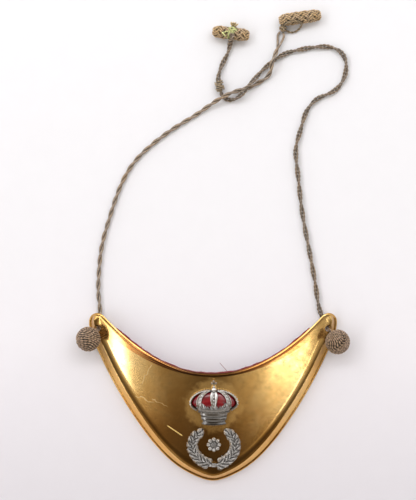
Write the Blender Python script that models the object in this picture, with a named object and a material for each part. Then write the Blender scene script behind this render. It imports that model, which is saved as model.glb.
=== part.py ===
"""An officer's neck gorget, lying on its back on a surface.

A crescent of gilt brass stands on its own flat lip. The sheet rises from the lip in a turned-down
bevel to a field that bows forward towards the neck edge. A silver crown with an enamel cap, a laurel
wreath and a rosette are seated on the field. A thread-wound ball sits over each horn, with its shank
through the horn's hole, and a neck cord leaves from behind each horn and ends in a braided toggle.

Metres, +Z up. The surface is z = 0, +Y runs from the bottom tip towards the toggles, and the origin is
under the middle of the plate.
"""

import math

import bmesh
import bpy
import numpy as np
from mathutils import Matrix, Vector

# The plate's outline and form
SPAN = 0.140              # across the horns
HEIGHT = 0.0948           # bottom tip to the horns' tips
NECK_DEPTH = 0.0337       # horns' tips down to the middle of the neck edge
HORN_RADIUS = 0.0050      # round end of each horn
FIELD_RISE = 0.0112       # how far the neck edge's middle is bowed forward
SHEET = 0.0009            # thickness of the brass
LIP_WIDTH = 0.0010        # flat lip all round the outer edge
BEVEL_WIDTH = 0.0043      # lip and bevel together, where they are widest
BEVEL_HEIGHT = 0.0044     # field above the surface at the outer edge
RIM_WIDTH = 0.0014        # raised rim along the neck edge
RIM_HEIGHT = 0.0005
HOLE_RADIUS = 0.00165
HOLE_INSET = 0.0052       # horn's outermost point in to the hole's axis
HOLE_DROP = 0.0088        # horn's tip down to the hole's axis

# Outer edge from the bottom tip to a horn: share of the half span, share of the height up to the horn's end
OUTER_EDGE = (
    (0.000, 0.000),
    (0.127, 0.025),
    (0.279, 0.089),
    (0.439, 0.202),
    (0.597, 0.359),
    (0.756, 0.553),
    (0.851, 0.690),
    (0.923, 0.808),
    (1.000, 1.000),
)

# Bevel's width along the outer edge: share of the way to the horn's tip, share of BEVEL_WIDTH
BEVEL_TAPER = (
    (0.00, 0.75),
    (0.25, 1.00),
    (0.86, 1.00),
    (0.97, 0.68),
    (1.00, 0.60),
)

# Gaps between pieces that touch, and the cloth
SEAT_GAP = 0.0003         # between a piece and what carries it
LINING_GAP = 0.00035
CROSSING_GAP = 0.0010     # between the cords' surfaces where one lies over the other
LINING_THICKNESS = 0.0010
LINING_WIDTH = 0.0100     # strip's width behind the plate
LINING_SHOWS = 0.0008     # how far it peeks past the neck edge
LINING_REACH = 0.86       # share of the neck edge, from the middle to a horn, that it follows

# Crown and wreath on the field
EMBLEM_X = 0.0005         # the crown and wreath sit a little to the right
CROWN_BOTTOM = 0.156 * HEIGHT   # below the plate's middle
CROWN_HEIGHT = 0.0247
CROWN_WIDTH = 0.0275
CROWN_DEPTH = 0.0046
ARCH_LIFT = 0.0013        # the arches' outer edges stand this far off the field
ARCH_WIDTH = 0.0024
ARCH_THICKNESS = 0.0008
ORB_RADIUS = 0.0016
CROSS_WIDTH = 0.0027
CROSS_BAR = 0.0010
ARCH_TURNS = (-90.0, -45.0, 0.0, 45.0, 90.0)
WREATH_TOP = 0.171 * HEIGHT     # below the plate's middle
WREATH_HEIGHT = 0.0226
WREATH_WIDTH = 0.0238     # between the stems' widest points
STEM_RADIUS = 0.0005
SPRIG_STEP = 0.00012      # the right sprig crosses this much higher than the left one
LEAF_LENGTH = 0.0044
LEAF_WIDTH = 0.0019
LEAF_THICKNESS = 0.0010
LEAVES = 17               # on each sprig, to one side and the other in turn
LEAF_ANGLE = math.radians(34.0)
ROSETTE_RADIUS = 0.0042
ROSETTE_HEIGHT = 0.0017
ROSETTE_PETALS = 8

# Base and circlet, bottom to top: share of the crown's height, share of its half width
CIRCLET = (
    (0.000, 0.500),
    (0.085, 0.470),
    (0.105, 0.520),
    (0.185, 0.520),
    (0.205, 0.555),
    (0.300, 0.640),
    (0.370, 0.716),
)

# An arch from the circlet to the orb: share of the crown's half width, share of its height
ARCH = (
    (0.68, 0.330),
    (0.86, 0.385),
    (0.95, 0.460),
    (0.93, 0.550),
    (0.82, 0.635),
    (0.63, 0.705),
    (0.38, 0.750),
    (0.02, 0.764),
)

# A sprig's stem from its cut end to its tip: share of the half width, share of the wreath's height
SPRIG = (
    (-0.26, 0.00),
    (0.22, 0.05),
    (0.72, 0.20),
    (1.00, 0.46),
    (0.94, 0.68),
    (0.72, 0.82),
)

# Rosette from its edge to its middle: share of its radius, share of its height
ROSETTE = (
    (1.00, 0.00),
    (1.00, 0.30),
    (0.78, 0.62),
    (0.42, 0.45),
    (0.30, 0.85),
)

# Balls
BALL_RADIUS = 0.0074
BALL_OFFSET = 0.0055      # hole's axis out to the ball's middle, along X
BALL_DROPS = {"left": 0.0058, "right": 0.0074}   # hole's axis down to the ball's middle, along Y
SHANK_RADIUS = 0.0008
SHANK_OFFSET = 0.0003     # the shank leans to the ball's side of its hole

# Cords and what is on them
LEFT_CORD = 0.0025        # diameters
RIGHT_CORD = 0.0030
STRAIGHT_SPACING = 3.0    # diameters between the points of a tube where it runs straight
BEND_SPACING = 1.9        # and where it bends
TIGHT_BEND = 8.0          # diameters: radius of a bend that gets the closer spacing
KNOT_WALL = 0.0008
KNOT_LENGTH = 0.0056
KNOT_ROUNDING = 0.12      # share of the knot's length over which each end rounds off
TOGGLE_RADIUS = 0.0034
WAIST_DEPTH = 0.0010      # the left toggle is drawn in under its lashing
WAIST_WIDTH = 0.0026
TOGGLE_SHARES = (0.995, 0.97, 0.9, 0.75, 0.5)   # rows of a toggle's mesh, as shares of its half length
END_KNOT_RADIUS = 0.0019
END_KNOT_AT = (0.0392, 0.2084)

# Toggles: middle in X and Y, length, turn about Z in degrees
TOGGLES = {
    "left": (0.0101, 0.2049, 0.0206, -7.0),
    "right": (0.0490, 0.2145, 0.0237, 8.0),
}

# Left cord's route: x, y, and how far it is lifted over the right cord, as a share of a full crossing
LEFT_ROUTE = (
    (-0.0643, 0.0377, 0.0),
    (-0.0639, 0.0428, 0.0),
    (-0.0637, 0.0483, 0.0),
    (-0.0646, 0.0573, 0.0),
    (-0.0646, 0.0663, 0.0),
    (-0.0640, 0.0753, 0.0),
    (-0.0630, 0.0833, 0.0),
    (-0.0610, 0.0923, 0.0),
    (-0.0588, 0.0995, 0.0),
    (-0.0566, 0.1067, 0.0),
    (-0.0516, 0.1202, 0.0),
    (-0.0448, 0.1319, 0.0),
    (-0.0350, 0.1418, 0.0),
    (-0.0197, 0.1530, 0.0),
    (-0.0080, 0.1602, 0.0),
    (-0.0011, 0.1650, 0.35),
    (0.0023, 0.1671, 0.75),
    (0.0058, 0.1691, 1.0),
    (0.0091, 0.1707, 0.90),
    (0.0123, 0.1720, 0.45),
    (0.0162, 0.1734, 0.08),
    (0.0214, 0.1750, 0.0),
    (0.0265, 0.1777, 0.0),
    (0.0305, 0.1804, 0.12),
    (0.0324, 0.1834, 0.45),
    (0.0329, 0.1862, 0.85),
    (0.0334, 0.1888, 1.0),
    (0.0344, 0.1914, 0.88),
    (0.0357, 0.1946, 0.45),
    (0.0371, 0.1984, 0.08),
    (0.0380, 0.2020, 0.0),
    (0.0387, 0.2060, 0.0),
)

# Right cord's route, with its lift over the left cord. The knot is on the straight stretch before the toggle.
RIGHT_ROUTE = (
    (0.0651, 0.0383, 0.0),
    (0.0634, 0.0420, 0.0),
    (0.0612, 0.0463, 0.0),
    (0.0586, 0.0579, 0.0),
    (0.0552, 0.0780, 0.0),
    (0.0498, 0.1082, 0.0),
    (0.0476, 0.1283, 0.0),
    (0.0471, 0.1424, 0.0),
    (0.0491, 0.1494, 0.0),
    (0.0538, 0.1628, 0.0),
    (0.0591, 0.1682, 0.0),
    (0.0640, 0.1705, 0.0),
    (0.0689, 0.1730, 0.0),
    (0.0724, 0.1769, 0.0),
    (0.0752, 0.1858, 0.0),
    (0.0745, 0.1907, 0.0),
    (0.0721, 0.1945, 0.0),
    (0.0683, 0.1967, 0.0),
    (0.0628, 0.1976, 0.0),
    (0.0518, 0.1964, 0.0),
    (0.0408, 0.1936, 0.0),
    (0.0370, 0.1916, 0.0),
    (0.0330, 0.1885, 0.0),
    (0.0285, 0.1848, 0.0),
    (0.0250, 0.1808, 0.40),
    (0.0221, 0.1776, 0.90),
    (0.0195, 0.1749, 1.0),
    (0.0178, 0.1725, 0.97),
    (0.0157, 0.1702, 0.75),
    (0.0131, 0.1684, 0.35),
    (0.0105, 0.1676, 0.06),
    (0.0078, 0.1680, 0.0),
    (0.0055, 0.1697, 0.10),
    (0.0043, 0.1723, 0.315),
    (0.0037, 0.1754, 0.315),
    (0.0031, 0.1785, 0.315),
    (0.0035, 0.1824, 0.10),
    (0.0048, 0.1865, 0.0),
    (0.0086, 0.1947, 0.0),
    (0.0100, 0.2010, 0.0),
)
KNOT_STRETCH = (33, 35)   # rows of RIGHT_ROUTE that run straight through the knot

# Mesh fineness
COLUMNS = 32              # from the bottom tip to a horn's tip
FIELD_ROWS = 4
ROUND_SIDES = 16
SPLINE_SAMPLES = 24       # between two points of a smooth curve


def clear_scene():
    for old in list(bpy.data.objects):
        bpy.data.objects.remove(old, do_unlink=True)


def make_material(name, color, roughness, metallic):
    material = bpy.data.materials.new(name)
    material.use_nodes = True
    shader = material.node_tree.nodes["Principled BSDF"]
    shader.inputs["Base Color"].default_value = (*color, 1.0)
    shader.inputs["Roughness"].default_value = roughness
    shader.inputs["Metallic"].default_value = metallic
    return material


def add_object(name, vertices, faces, material, smooth_angle=35.0):
    """Make a closed mesh object with its faces pointing out."""
    mesh = bpy.data.meshes.new(name)
    mesh.from_pydata([tuple(map(float, v)) for v in vertices], [], [tuple(map(int, f)) for f in faces])
    shell = bmesh.new()
    shell.from_mesh(mesh)
    bmesh.ops.recalc_face_normals(shell, faces=shell.faces)
    shell.to_mesh(mesh)
    shell.free()
    return link_mesh(name, mesh, material, smooth_angle)


def link_mesh(name, mesh, material, smooth_angle=35.0):
    obj = bpy.data.objects.new(name, mesh)
    bpy.context.scene.collection.objects.link(obj)
    mesh.materials.clear()
    mesh.materials.append(material)
    mesh.shade_smooth()
    mesh.set_sharp_from_angle(angle=math.radians(smooth_angle))
    return obj


def combine(target, tool, operation, material):
    """Join or cut the target with the tool, and remove the tool."""
    modifier = target.modifiers.new(operation.lower(), "BOOLEAN")
    modifier.operation = operation
    modifier.solver = "EXACT"
    modifier.use_self = operation == "UNION"
    modifier.object = tool
    bpy.context.view_layer.update()
    result = bpy.data.meshes.new_from_object(target.evaluated_get(bpy.context.evaluated_depsgraph_get()))
    name = target.name
    bpy.data.objects.remove(target, do_unlink=True)
    bpy.data.objects.remove(tool, do_unlink=True)
    return link_mesh(name, result, material)


def merge_shapes(shapes):
    """Put several (vertices, faces) shapes into one."""
    vertices = []
    faces = []
    for shape_vertices, shape_faces in shapes:
        start = len(vertices)
        vertices.extend(shape_vertices)
        faces.extend(tuple(start + index for index in face) for face in shape_faces)
    return vertices, faces


def smooth_step(share):
    share = np.clip(share, 0.0, 1.0)
    return share * share * (3.0 - 2.0 * share)


def smooth_curve(points, start=None, end=None):
    """Read a cubic spline through the points, over their chord lengths.

    start and end are directions at the ends. Without them the curve's ends are straight.
    """
    points = np.asarray(points, float)
    steps = np.linalg.norm(np.diff(points, axis=0), axis=1)
    slopes = np.diff(points, axis=0) / steps[:, None]
    count = len(points)
    system = np.zeros((count, count))
    right = np.zeros_like(points)
    for row in range(1, count - 1):
        system[row, row - 1] = steps[row]
        system[row, row] = 2.0 * (steps[row - 1] + steps[row])
        system[row, row + 1] = steps[row - 1]
        right[row] = 3.0 * (steps[row] * slopes[row - 1] + steps[row - 1] * slopes[row])
    for row, near, direction, slope in ((0, 1, start, slopes[0]), (-1, -2, end, slopes[-1])):
        system[row, row] = 1.0 if direction else 2.0
        system[row, near] = 0.0 if direction else 1.0
        right[row] = direction if direction else 3.0 * slope
    tangents = np.linalg.solve(system, right)
    share = np.linspace(0.0, 1.0, SPLINE_SAMPLES, endpoint=False)[:, None]
    pieces = []
    for row in range(count - 1):
        pieces.append(
            points[row] * (1.0 + 2.0 * share) * (1.0 - share) ** 2
            + points[row + 1] * share ** 2 * (3.0 - 2.0 * share)
            + tangents[row] * steps[row] * share * (1.0 - share) ** 2
            + tangents[row + 1] * steps[row] * share ** 2 * (share - 1.0)
        )
    pieces.append(points[-1:])
    return np.concatenate(pieces)


def travelled(points):
    """Length of the way to each point."""
    return np.concatenate(([0.0], np.cumsum(np.linalg.norm(np.diff(points, axis=0), axis=1))))


def resample(points, lengths):
    """Points and unit directions at the given lengths along a finely sampled curve."""
    way = travelled(points)
    directions = np.gradient(points, way, axis=0)
    places = np.stack([np.interp(lengths, way, column) for column in points.T], axis=1)
    headings = np.stack([np.interp(lengths, way, column) for column in directions.T], axis=1)
    return places, headings / np.linalg.norm(headings, axis=1)[:, None]


def horn_center():
    return np.array((SPAN / 2.0 - HORN_RADIUS, HEIGHT / 2.0 - HORN_RADIUS))


def neck_middle():
    return HEIGHT / 2.0 - NECK_DEPTH


def neck_corner_angle():
    """Where the round end of the horn runs on into the neck edge, a parabola that leaves it straight on."""
    center = horn_center()
    angle = math.radians(135.0)
    for _ in range(40):
        x = center[0] + HORN_RADIUS * math.cos(angle)
        y = center[1] + HORN_RADIUS * math.sin(angle)
        angle = math.radians(90.0) + math.atan(2.0 * (y - neck_middle()) / x)
    return angle


def arc(from_angle, to_angle):
    angles = np.linspace(from_angle, to_angle, 2 * SPLINE_SAMPLES)
    return horn_center() + HORN_RADIUS * np.stack((np.cos(angles), np.sin(angles)), axis=1)


def outline_halves():
    """The right half of the outline, as two fine curves that meet on the horn's round end.

    Gives the outer one from the bottom tip, the neck one from the middle of the neck edge, and the
    length of each before its round end starts.
    """
    corner = neck_corner_angle()
    edge_height = HEIGHT - HORN_RADIUS
    edge = [(SPAN / 2.0 * x, edge_height * y - HEIGHT / 2.0) for x, y in OUTER_EDGE]
    edge = smooth_curve(edge, start=(1.0, 0.0), end=(0.0, 1.0))
    outer = np.concatenate((edge, arc(0.0, corner / 2.0)[1:]))
    corner_point = arc(corner, corner)[0]
    x = np.linspace(0.0, corner_point[0], 10 * SPLINE_SAMPLES)
    y = neck_middle() + (corner_point[1] - neck_middle()) * (x / corner_point[0]) ** 2
    neck_edge = np.stack((x, y), axis=1)
    neck = np.concatenate((neck_edge, arc(corner, corner / 2.0)[1:]))
    return outer, neck, travelled(edge)[-1], travelled(neck_edge)[-1]


def field_bend(x, y):
    """Height of the bowed field over the flat one: none along the outer edge, FIELD_RISE at the neck edge."""
    tilt = FIELD_RISE / (neck_middle() + HEIGHT / 2.0)
    middle = tilt * HEIGHT / 2.0
    curve = (middle + tilt * horn_center()[1]) / (SPAN / 2.0) ** 2
    return middle + tilt * y - curve * x * x


def field_height(x, y):
    """Height of the field's front surface."""
    return BEVEL_HEIGHT + field_bend(x, y)


def outline_ring():
    """The whole outline: places, inward directions, bevel widths, and how far each place belongs to the neck.

    The ring starts at the bottom tip and runs anticlockwise. The share for the neck grows from 0 to 1
    round the horn's end, where the lip leaves the surface to let the cord out underneath.
    """
    lift_from = math.radians(10.0)
    lift_to = math.radians(95.0)
    outer, neck, edge_length, neck_length = outline_halves()
    shares = 1.0 - (1.0 - np.linspace(0.0, 1.0, COLUMNS + 1)) ** 1.5
    outer_way = shares * travelled(outer)[-1]
    neck_way = shares * travelled(neck)[-1]
    outer_at, outer_heading = resample(outer, outer_way)
    neck_at, neck_heading = resample(neck, neck_way)
    inward_outer = np.stack((-outer_heading[:, 1], outer_heading[:, 0]), axis=1)
    inward_neck = np.stack((neck_heading[:, 1], -neck_heading[:, 0]), axis=1)
    round_end = HORN_RADIUS * neck_corner_angle()
    past_outer = outer_way - edge_length
    past_neck = round_end - (neck_way - neck_length)
    width_shares = np.interp(shares, *zip(*BEVEL_TAPER))
    half = slice(COLUMNS - 1, None, -1)
    at = np.concatenate((outer_at, neck_at[half]))
    inward = np.concatenate((inward_outer, inward_neck[half]))
    past = np.concatenate((past_outer, past_neck[half]))
    width = BEVEL_WIDTH * np.concatenate((width_shares, width_shares[half]))
    neck_share = smooth_step((past / HORN_RADIUS - lift_from) / (lift_to - lift_from))
    mirror = slice(len(at) - 2, 0, -1)
    flip = np.array((-1.0, 1.0))
    return (
        np.concatenate((at, at[mirror] * flip)),
        np.concatenate((inward, inward[mirror] * flip)),
        np.concatenate((width, width[mirror])),
        np.concatenate((neck_share, neck_share[mirror])),
    )


def plate_rings():
    """The plate's section, carried round the outline, as rings of points.

    Gives the front rings from the outline inwards, then the back rings. Each blends the bevel's section,
    which stands on the surface, into the neck rim's section, which rides on the field.
    """
    at, inward, width, neck_share = outline_ring()
    wall_shift = 0.4 * SHEET
    groove = 0.5 * RIM_WIDTH

    def ring(outer_inset, outer_climb, neck_inset, neck_rise, back=0.0):
        inset = outer_inset + (neck_inset - outer_inset) * neck_share
        place = at + inward * inset[:, None]
        field = field_height(place[:, 0], place[:, 1]) - back
        foot = SHEET - back
        outer_z = foot + (field - foot) * outer_climb
        height = outer_z + (field + neck_rise - outer_z) * neck_share
        return np.column_stack((place, height))

    middle_inset = (LIP_WIDTH + width) / 2.0
    front = [
        ring(0.0, 0.0, 0.0, 0.4 * RIM_HEIGHT),
        ring(LIP_WIDTH, 0.0, 0.3 * RIM_WIDTH, RIM_HEIGHT),
        ring(middle_inset, 0.5, 0.7 * RIM_WIDTH, RIM_HEIGHT),
        ring(width, 1.0, RIM_WIDTH, 0.0),
        ring(width + groove, 1.0, RIM_WIDTH + groove, 0.0),
    ]
    back = [
        ring(0.0, 0.0, 0.0, 0.0, SHEET),
        ring(LIP_WIDTH + wall_shift, 0.0, 0.5 * RIM_WIDTH, 0.0, SHEET),
        ring(width + wall_shift, 1.0, RIM_WIDTH, 0.0, SHEET),
    ]
    return front, back


def ring_index(column, side):
    """Place in a ring of a column, counted from the middle, on the outer or the neck side."""
    if side == "outer":
        return column % (4 * COLUMNS)
    return 2 * COLUMNS - column


def lens(ring, ring_start, start, back):
    """Fill a ring with a field of rows that run from its outer side to its neck side, horn to horn."""
    rows = []
    for row in range(1, FIELD_ROWS):
        share = row / FIELD_ROWS
        for column in range(1 - COLUMNS, COLUMNS):
            outer = ring[ring_index(column, "outer")]
            neck = ring[ring_index(column, "neck")]
            x, y = (outer + (neck - outer) * share)[:2]
            rows.append((x, y, field_height(x, y) - back))

    def vertex(row, column):
        if row == 0 or abs(column) == COLUMNS:
            return ring_start + ring_index(column, "outer")
        if row == FIELD_ROWS:
            return ring_start + ring_index(column, "neck")
        return start + (row - 1) * (2 * COLUMNS - 1) + column + COLUMNS - 1

    faces = []
    for row in range(FIELD_ROWS):
        for column in range(-COLUMNS, COLUMNS):
            corners = [vertex(row, column), vertex(row, column + 1),
                       vertex(row + 1, column + 1), vertex(row + 1, column)]
            face = list(dict.fromkeys(corners))
            faces.append(face[::-1] if back else face)
    return rows, faces


def build_plate(material):
    front, back = plate_rings()
    count = len(front[0])
    order = [back[2], back[1], back[0], *front]
    vertices = [tuple(point) for ring in order for point in ring]
    faces = []
    for strip in range(len(order) - 1):
        for index in range(count):
            here = strip * count + index
            ahead = strip * count + (index + 1) % count
            faces.append((here, ahead, ahead + count, here + count))
    rows, field = lens(front[-1], (len(order) - 1) * count, len(vertices), 0.0)
    vertices += rows
    faces += field
    rows, field = lens(back[2], 0, len(vertices), SHEET)
    vertices += rows
    faces += field
    plate = add_object("gorget_plate", vertices, faces, material)
    for side in (-1.0, 1.0):
        bore = turned(((-0.5, HOLE_RADIUS), (0.5, HOLE_RADIUS)), 4.0 * BEVEL_HEIGHT)
        drill = add_object("drill", *bore, material)
        place = (side * hole_x(), hole_y(), field_height(hole_x(), hole_y()))
        drill.data.transform(Matrix.Rotation(math.radians(90.0), 4, "Y"))
        drill.data.transform(Matrix.Translation(place))
        plate = combine(plate, drill, "DIFFERENCE", material)
    return plate


def hole_x():
    return SPAN / 2.0 - HOLE_INSET


def hole_y():
    return HEIGHT / 2.0 - HOLE_DROP


def turned(profile, length, sides=ROUND_SIDES, closed=False):
    """Turn a profile round the X axis. Its rows are a share of the length and a radius.

    An open profile gets a flat face at each end, and a closed one goes round a bore.
    """
    vertices = []
    for share, radius in profile:
        for side in range(sides):
            angle = 2.0 * math.pi * side / sides
            vertices.append((share * length, radius * math.cos(angle), radius * math.sin(angle)))
    faces = []
    rows = len(profile)
    for row in range(rows if closed else rows - 1):
        for side in range(sides):
            here = row * sides + side
            next_side = row * sides + (side + 1) % sides
            step = sides if row < rows - 1 else -row * sides
            faces.append((here, next_side, next_side + step, here + step))
    if not closed:
        faces.append(tuple(range(sides)))
        faces.append(tuple(range((rows - 1) * sides, rows * sides)))
    return vertices, faces


def seat(vertices):
    """Lay a relief made over the flat plane z = 0 onto the field, a gap above it."""
    return [(x, y, z + field_height(x, y) + SEAT_GAP) for x, y, z in vertices]


def build_lining(material):
    """A strip of cloth behind the neck edge that peeks out past the rim."""
    _, neck, _, neck_length = outline_halves()
    way = np.linspace(0.0, LINING_REACH * neck_length, COLUMNS // 2 + 1)
    at, heading = resample(neck, way)
    inward = np.stack((heading[:, 1], -heading[:, 0]), axis=1)
    flip = np.array((-1.0, 1.0))
    at = np.concatenate((at[:0:-1] * flip, at))
    inward = np.concatenate((inward[:0:-1] * flip, inward))
    vertices = []
    for place, direction in zip(at, inward):
        for inset in (-LINING_SHOWS, LINING_WIDTH / 2.0, LINING_WIDTH):
            x, y = place + direction * inset
            vertices.append((x, y, field_height(x, y) - SHEET - LINING_GAP))
        for inset in (LINING_WIDTH, LINING_WIDTH / 2.0, -LINING_SHOWS):
            x, y = place + direction * inset
            vertices.append((x, y, field_height(x, y) - SHEET - LINING_GAP - LINING_THICKNESS))
    return add_object("lining", *loft(vertices, 6), material)


def loft(vertices, size):
    """Join sections of equal size into a closed skin with a face at each end."""
    faces = []
    sections = len(vertices) // size
    for section in range(sections - 1):
        for index in range(size):
            here = section * size + index
            beside = section * size + (index + 1) % size
            faces.append((here, beside, beside + size, here + size))
    faces.append(tuple(range(size)))
    faces.append(tuple(range((sections - 1) * size, sections * size)))
    return vertices, faces


def crown_place(width_share, height_share):
    """Half width and Y of a place on the crown, from shares of its half width and its height."""
    return width_share * CROWN_WIDTH / 2.0, height_share * CROWN_HEIGHT - CROWN_BOTTOM


def half_rounds(rows, lift):
    """Loft half-round sections, given as half width and Y, with backs that follow the field."""
    depth = CROWN_DEPTH / (CROWN_WIDTH / 2.0)
    angles = np.radians(np.linspace(-90.0, 90.0, ROUND_SIDES + 1))
    back = np.linspace(1.0, -1.0, ROUND_SIDES // 2 + 1)
    vertices = []
    for half, y in rows:
        for angle in angles:
            vertices.append((EMBLEM_X + half * math.sin(angle), y, lift + depth * half * math.cos(angle)))
        for share in back:
            vertices.append((EMBLEM_X + half * share, y, 0.0))
    return loft(vertices, len(angles) + len(back))


def crown_circlet():
    """Base and circlet, bottom to top."""
    return half_rounds([crown_place(width, height) for height, width in CIRCLET], ARCH_LIFT)


def arch_profile():
    """The arches' common curve, as half width and Y."""
    curve = smooth_curve([crown_place(width, height) for width, height in ARCH])
    way = travelled(curve)
    return resample(curve, np.linspace(0.0, way[-1], 11))


def crown_arch(turn):
    """A flat strip with a rounded front that follows the common curve, turned about the crown's Y axis."""
    depth = CROWN_DEPTH / (CROWN_WIDTH / 2.0)
    profile, headings = arch_profile()
    side = np.array((math.cos(turn), 0.0, -depth * math.sin(turn)))
    side /= np.linalg.norm(side)
    vertices = []
    for (half, y), (grow, climb) in zip(profile, headings):
        place = np.array((EMBLEM_X + half * math.sin(turn), y, ARCH_LIFT + depth * half * math.cos(turn)))
        along = np.array((grow * math.sin(turn), climb, depth * grow * math.cos(turn)))
        out = np.cross(side, along)
        out *= ARCH_THICKNESS / 2.0 / np.linalg.norm(out)
        across = side * ARCH_WIDTH / 2.0
        for a, b in ((-1.0, -1.0), (1.0, -1.0), (1.0, 0.2), (0.45, 1.0), (-0.45, 1.0), (-1.0, 0.2)):
            vertices.append(tuple(place + a * across + b * out))
    return loft(vertices, 6)


def box(low, high):
    (x0, y0, z0), (x1, y1, z1) = low, high
    vertices = [(x, y, z) for z in (z0, z1) for x, y in ((x0, y0), (x1, y0), (x1, y1), (x0, y1))]
    return loft(vertices, 4)


def crown_top():
    """Orb, and the cross that stands on it."""
    orb_y = crown_place(0.0, 0.785)[1]
    orb_z = ARCH_LIFT + 0.75 * ORB_RADIUS
    top = CROWN_HEIGHT - CROWN_BOTTOM
    steps = np.radians(np.linspace(-84.0, 84.0, 9))
    profile = [(math.sin(step), ORB_RADIUS * math.cos(step)) for step in steps]
    orb, orb_faces = turned(profile, ORB_RADIUS, 12)
    orb = [(EMBLEM_X + y, orb_y + x, orb_z + z) for x, y, z in orb]
    bar = CROSS_BAR / 2.0
    arm_y = (orb_y + ORB_RADIUS + top) / 2.0
    upright = box((EMBLEM_X - bar, orb_y, orb_z - bar), (EMBLEM_X + bar, top, orb_z + bar))
    reach = CROSS_WIDTH / 2.0
    arms = box((EMBLEM_X - reach, arm_y - 0.8 * bar, orb_z - 0.9 * bar),
               (EMBLEM_X + reach, arm_y + 0.8 * bar, orb_z + 0.9 * bar))
    return [(orb, orb_faces), upright, arms]


def build_crown_frame(material):
    vertices, faces = crown_circlet()
    frame = add_object("crown_frame", seat(vertices), faces, material)
    others = [crown_arch(math.radians(turn)) for turn in ARCH_TURNS] + crown_top()
    vertices, faces = merge_shapes(others)
    tool = add_object("crown_rest", seat(vertices), faces, material)
    return combine(frame, tool, "UNION", material)


def build_crown_enamel(material):
    """The cap that fills the crown behind its arches, clear of them by the seat gap."""
    clear = ARCH_THICKNESS / 2.0 + SEAT_GAP
    profile, headings = arch_profile()
    inner = profile - clear * np.stack((headings[:, 1], -headings[:, 0]), axis=1)
    floor = crown_place(0.0, CIRCLET[-1][0])[1] + SEAT_GAP
    rows = [(half, y) for half, y in inner if y > floor and half > 2.0 * ORB_RADIUS]
    rows.insert(0, (np.interp(floor, inner[:5, 1], inner[:5, 0]), floor))
    vertices, faces = half_rounds(rows, ARCH_LIFT - clear)
    return add_object("crown_enamel", seat(vertices), faces, material)


def tube(points, radius, sides=8):
    """A round rod along points that lie nearly flat."""
    points = np.asarray(points, float)
    headings = np.gradient(points, axis=0)
    headings /= np.linalg.norm(headings, axis=1)[:, None]
    vertices = []
    for place, heading in zip(points, headings):
        across = np.cross(heading, (0.0, 0.0, 1.0))
        across /= np.linalg.norm(across)
        up = np.cross(across, heading)
        for side in range(sides):
            angle = 2.0 * math.pi * side / sides
            vertices.append(tuple(place + radius * (across * math.cos(angle) + up * math.sin(angle))))
    return loft(vertices, sides)


def leaf(root, heading, lift):
    """A pointed leaf with a ridge along its middle, flat underneath."""
    along = np.array((*heading, 0.0))
    across = np.array((-heading[1], heading[0], 0.0))
    up = np.array((0.0, 0.0, 1.0))
    half = LEAF_WIDTH / 2.0
    outline = ((0.0, 0.0), (0.3, half), (0.65, 0.85 * half), (1.0, 0.0), (0.65, -0.85 * half), (0.3, -half))
    base = np.array((*root, 0.4 * STEM_RADIUS + lift))
    vertices = [tuple(base + along * LEAF_LENGTH * a + across * b) for a, b in outline]
    for a, b in ((0.3, 1.0), (0.65, 0.8)):
        vertices.append(tuple(base + along * LEAF_LENGTH * a + up * LEAF_THICKNESS * b))
    faces = [(0, 1, 2, 3, 4, 5), (0, 5, 6), (5, 4, 7, 6), (4, 3, 7), (3, 2, 7), (2, 1, 6, 7), (1, 0, 6)]
    return vertices, faces


def sprig(side):
    """One stem with leaves that leave it left and right in turn. side is 1 for the one that grows right."""
    half = WREATH_WIDTH / 2.0
    bottom = -WREATH_TOP - WREATH_HEIGHT
    curve = smooth_curve([(EMBLEM_X + side * half * x, bottom + WREATH_HEIGHT * y) for x, y in SPRIG])
    length = travelled(curve)[-1]
    stem, _ = resample(curve, np.linspace(0.0, length, 15))
    lift = SPRIG_STEP * (1.0 + side) / 2.0
    shapes = [tube(np.column_stack((stem, np.full(len(stem), STEM_RADIUS + lift))), STEM_RADIUS)]
    places, headings = resample(curve, length * np.linspace(0.20, 0.94, LEAVES))
    for index, (place, heading) in enumerate(zip(places, headings)):
        aim = Matrix.Rotation(LEAF_ANGLE if index % 2 else -LEAF_ANGLE, 2) @ Vector(heading)
        shapes.append(leaf(place, tuple(aim), lift))
    tip, heading = resample(curve, np.array((length - STEM_RADIUS,)))
    shapes.append(leaf(tip[0], tuple(heading[0]), lift))
    return shapes


def build_wreath(material):
    left = sprig(-1.0)
    right = sprig(1.0)
    vertices, faces = left[0]
    wreath = add_object("wreath", seat(vertices), faces, material)
    bottom = -WREATH_TOP - WREATH_HEIGHT
    tie = box((EMBLEM_X - 2.0 * STEM_RADIUS, bottom - 0.6 * STEM_RADIUS, 0.0),
              (EMBLEM_X + 2.0 * STEM_RADIUS, bottom + 4.0 * STEM_RADIUS, 2.6 * STEM_RADIUS))
    vertices, faces = merge_shapes(left[1:] + right + [tie])
    tool = add_object("wreath_rest", seat(vertices), faces, material)
    return combine(wreath, tool, "UNION", material)


def build_rosette(material):
    """A round flower with a scalloped edge and a raised middle."""
    sides = 4 * ROSETTE_PETALS
    middle_y = -WREATH_TOP - 0.46 * WREATH_HEIGHT
    vertices = []
    for radius_share, height_share in ROSETTE:
        for side in range(sides):
            angle = 2.0 * math.pi * side / sides
            scallop = 1.0 - 0.16 * radius_share * abs(math.sin(ROSETTE_PETALS * angle / 2.0))
            radius = ROSETTE_RADIUS * radius_share * scallop
            x = EMBLEM_X + radius * math.cos(angle)
            vertices.append((x, middle_y + radius * math.sin(angle), height_share * ROSETTE_HEIGHT))
    vertices, faces = loft(vertices, sides)
    top = faces.pop()
    vertices.append((EMBLEM_X, middle_y, ROSETTE_HEIGHT))
    last = len(vertices) - 1
    faces += [(top[side], top[(side + 1) % sides], last) for side in range(sides)]
    return add_object("rosette", seat(vertices), faces, material)


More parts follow.
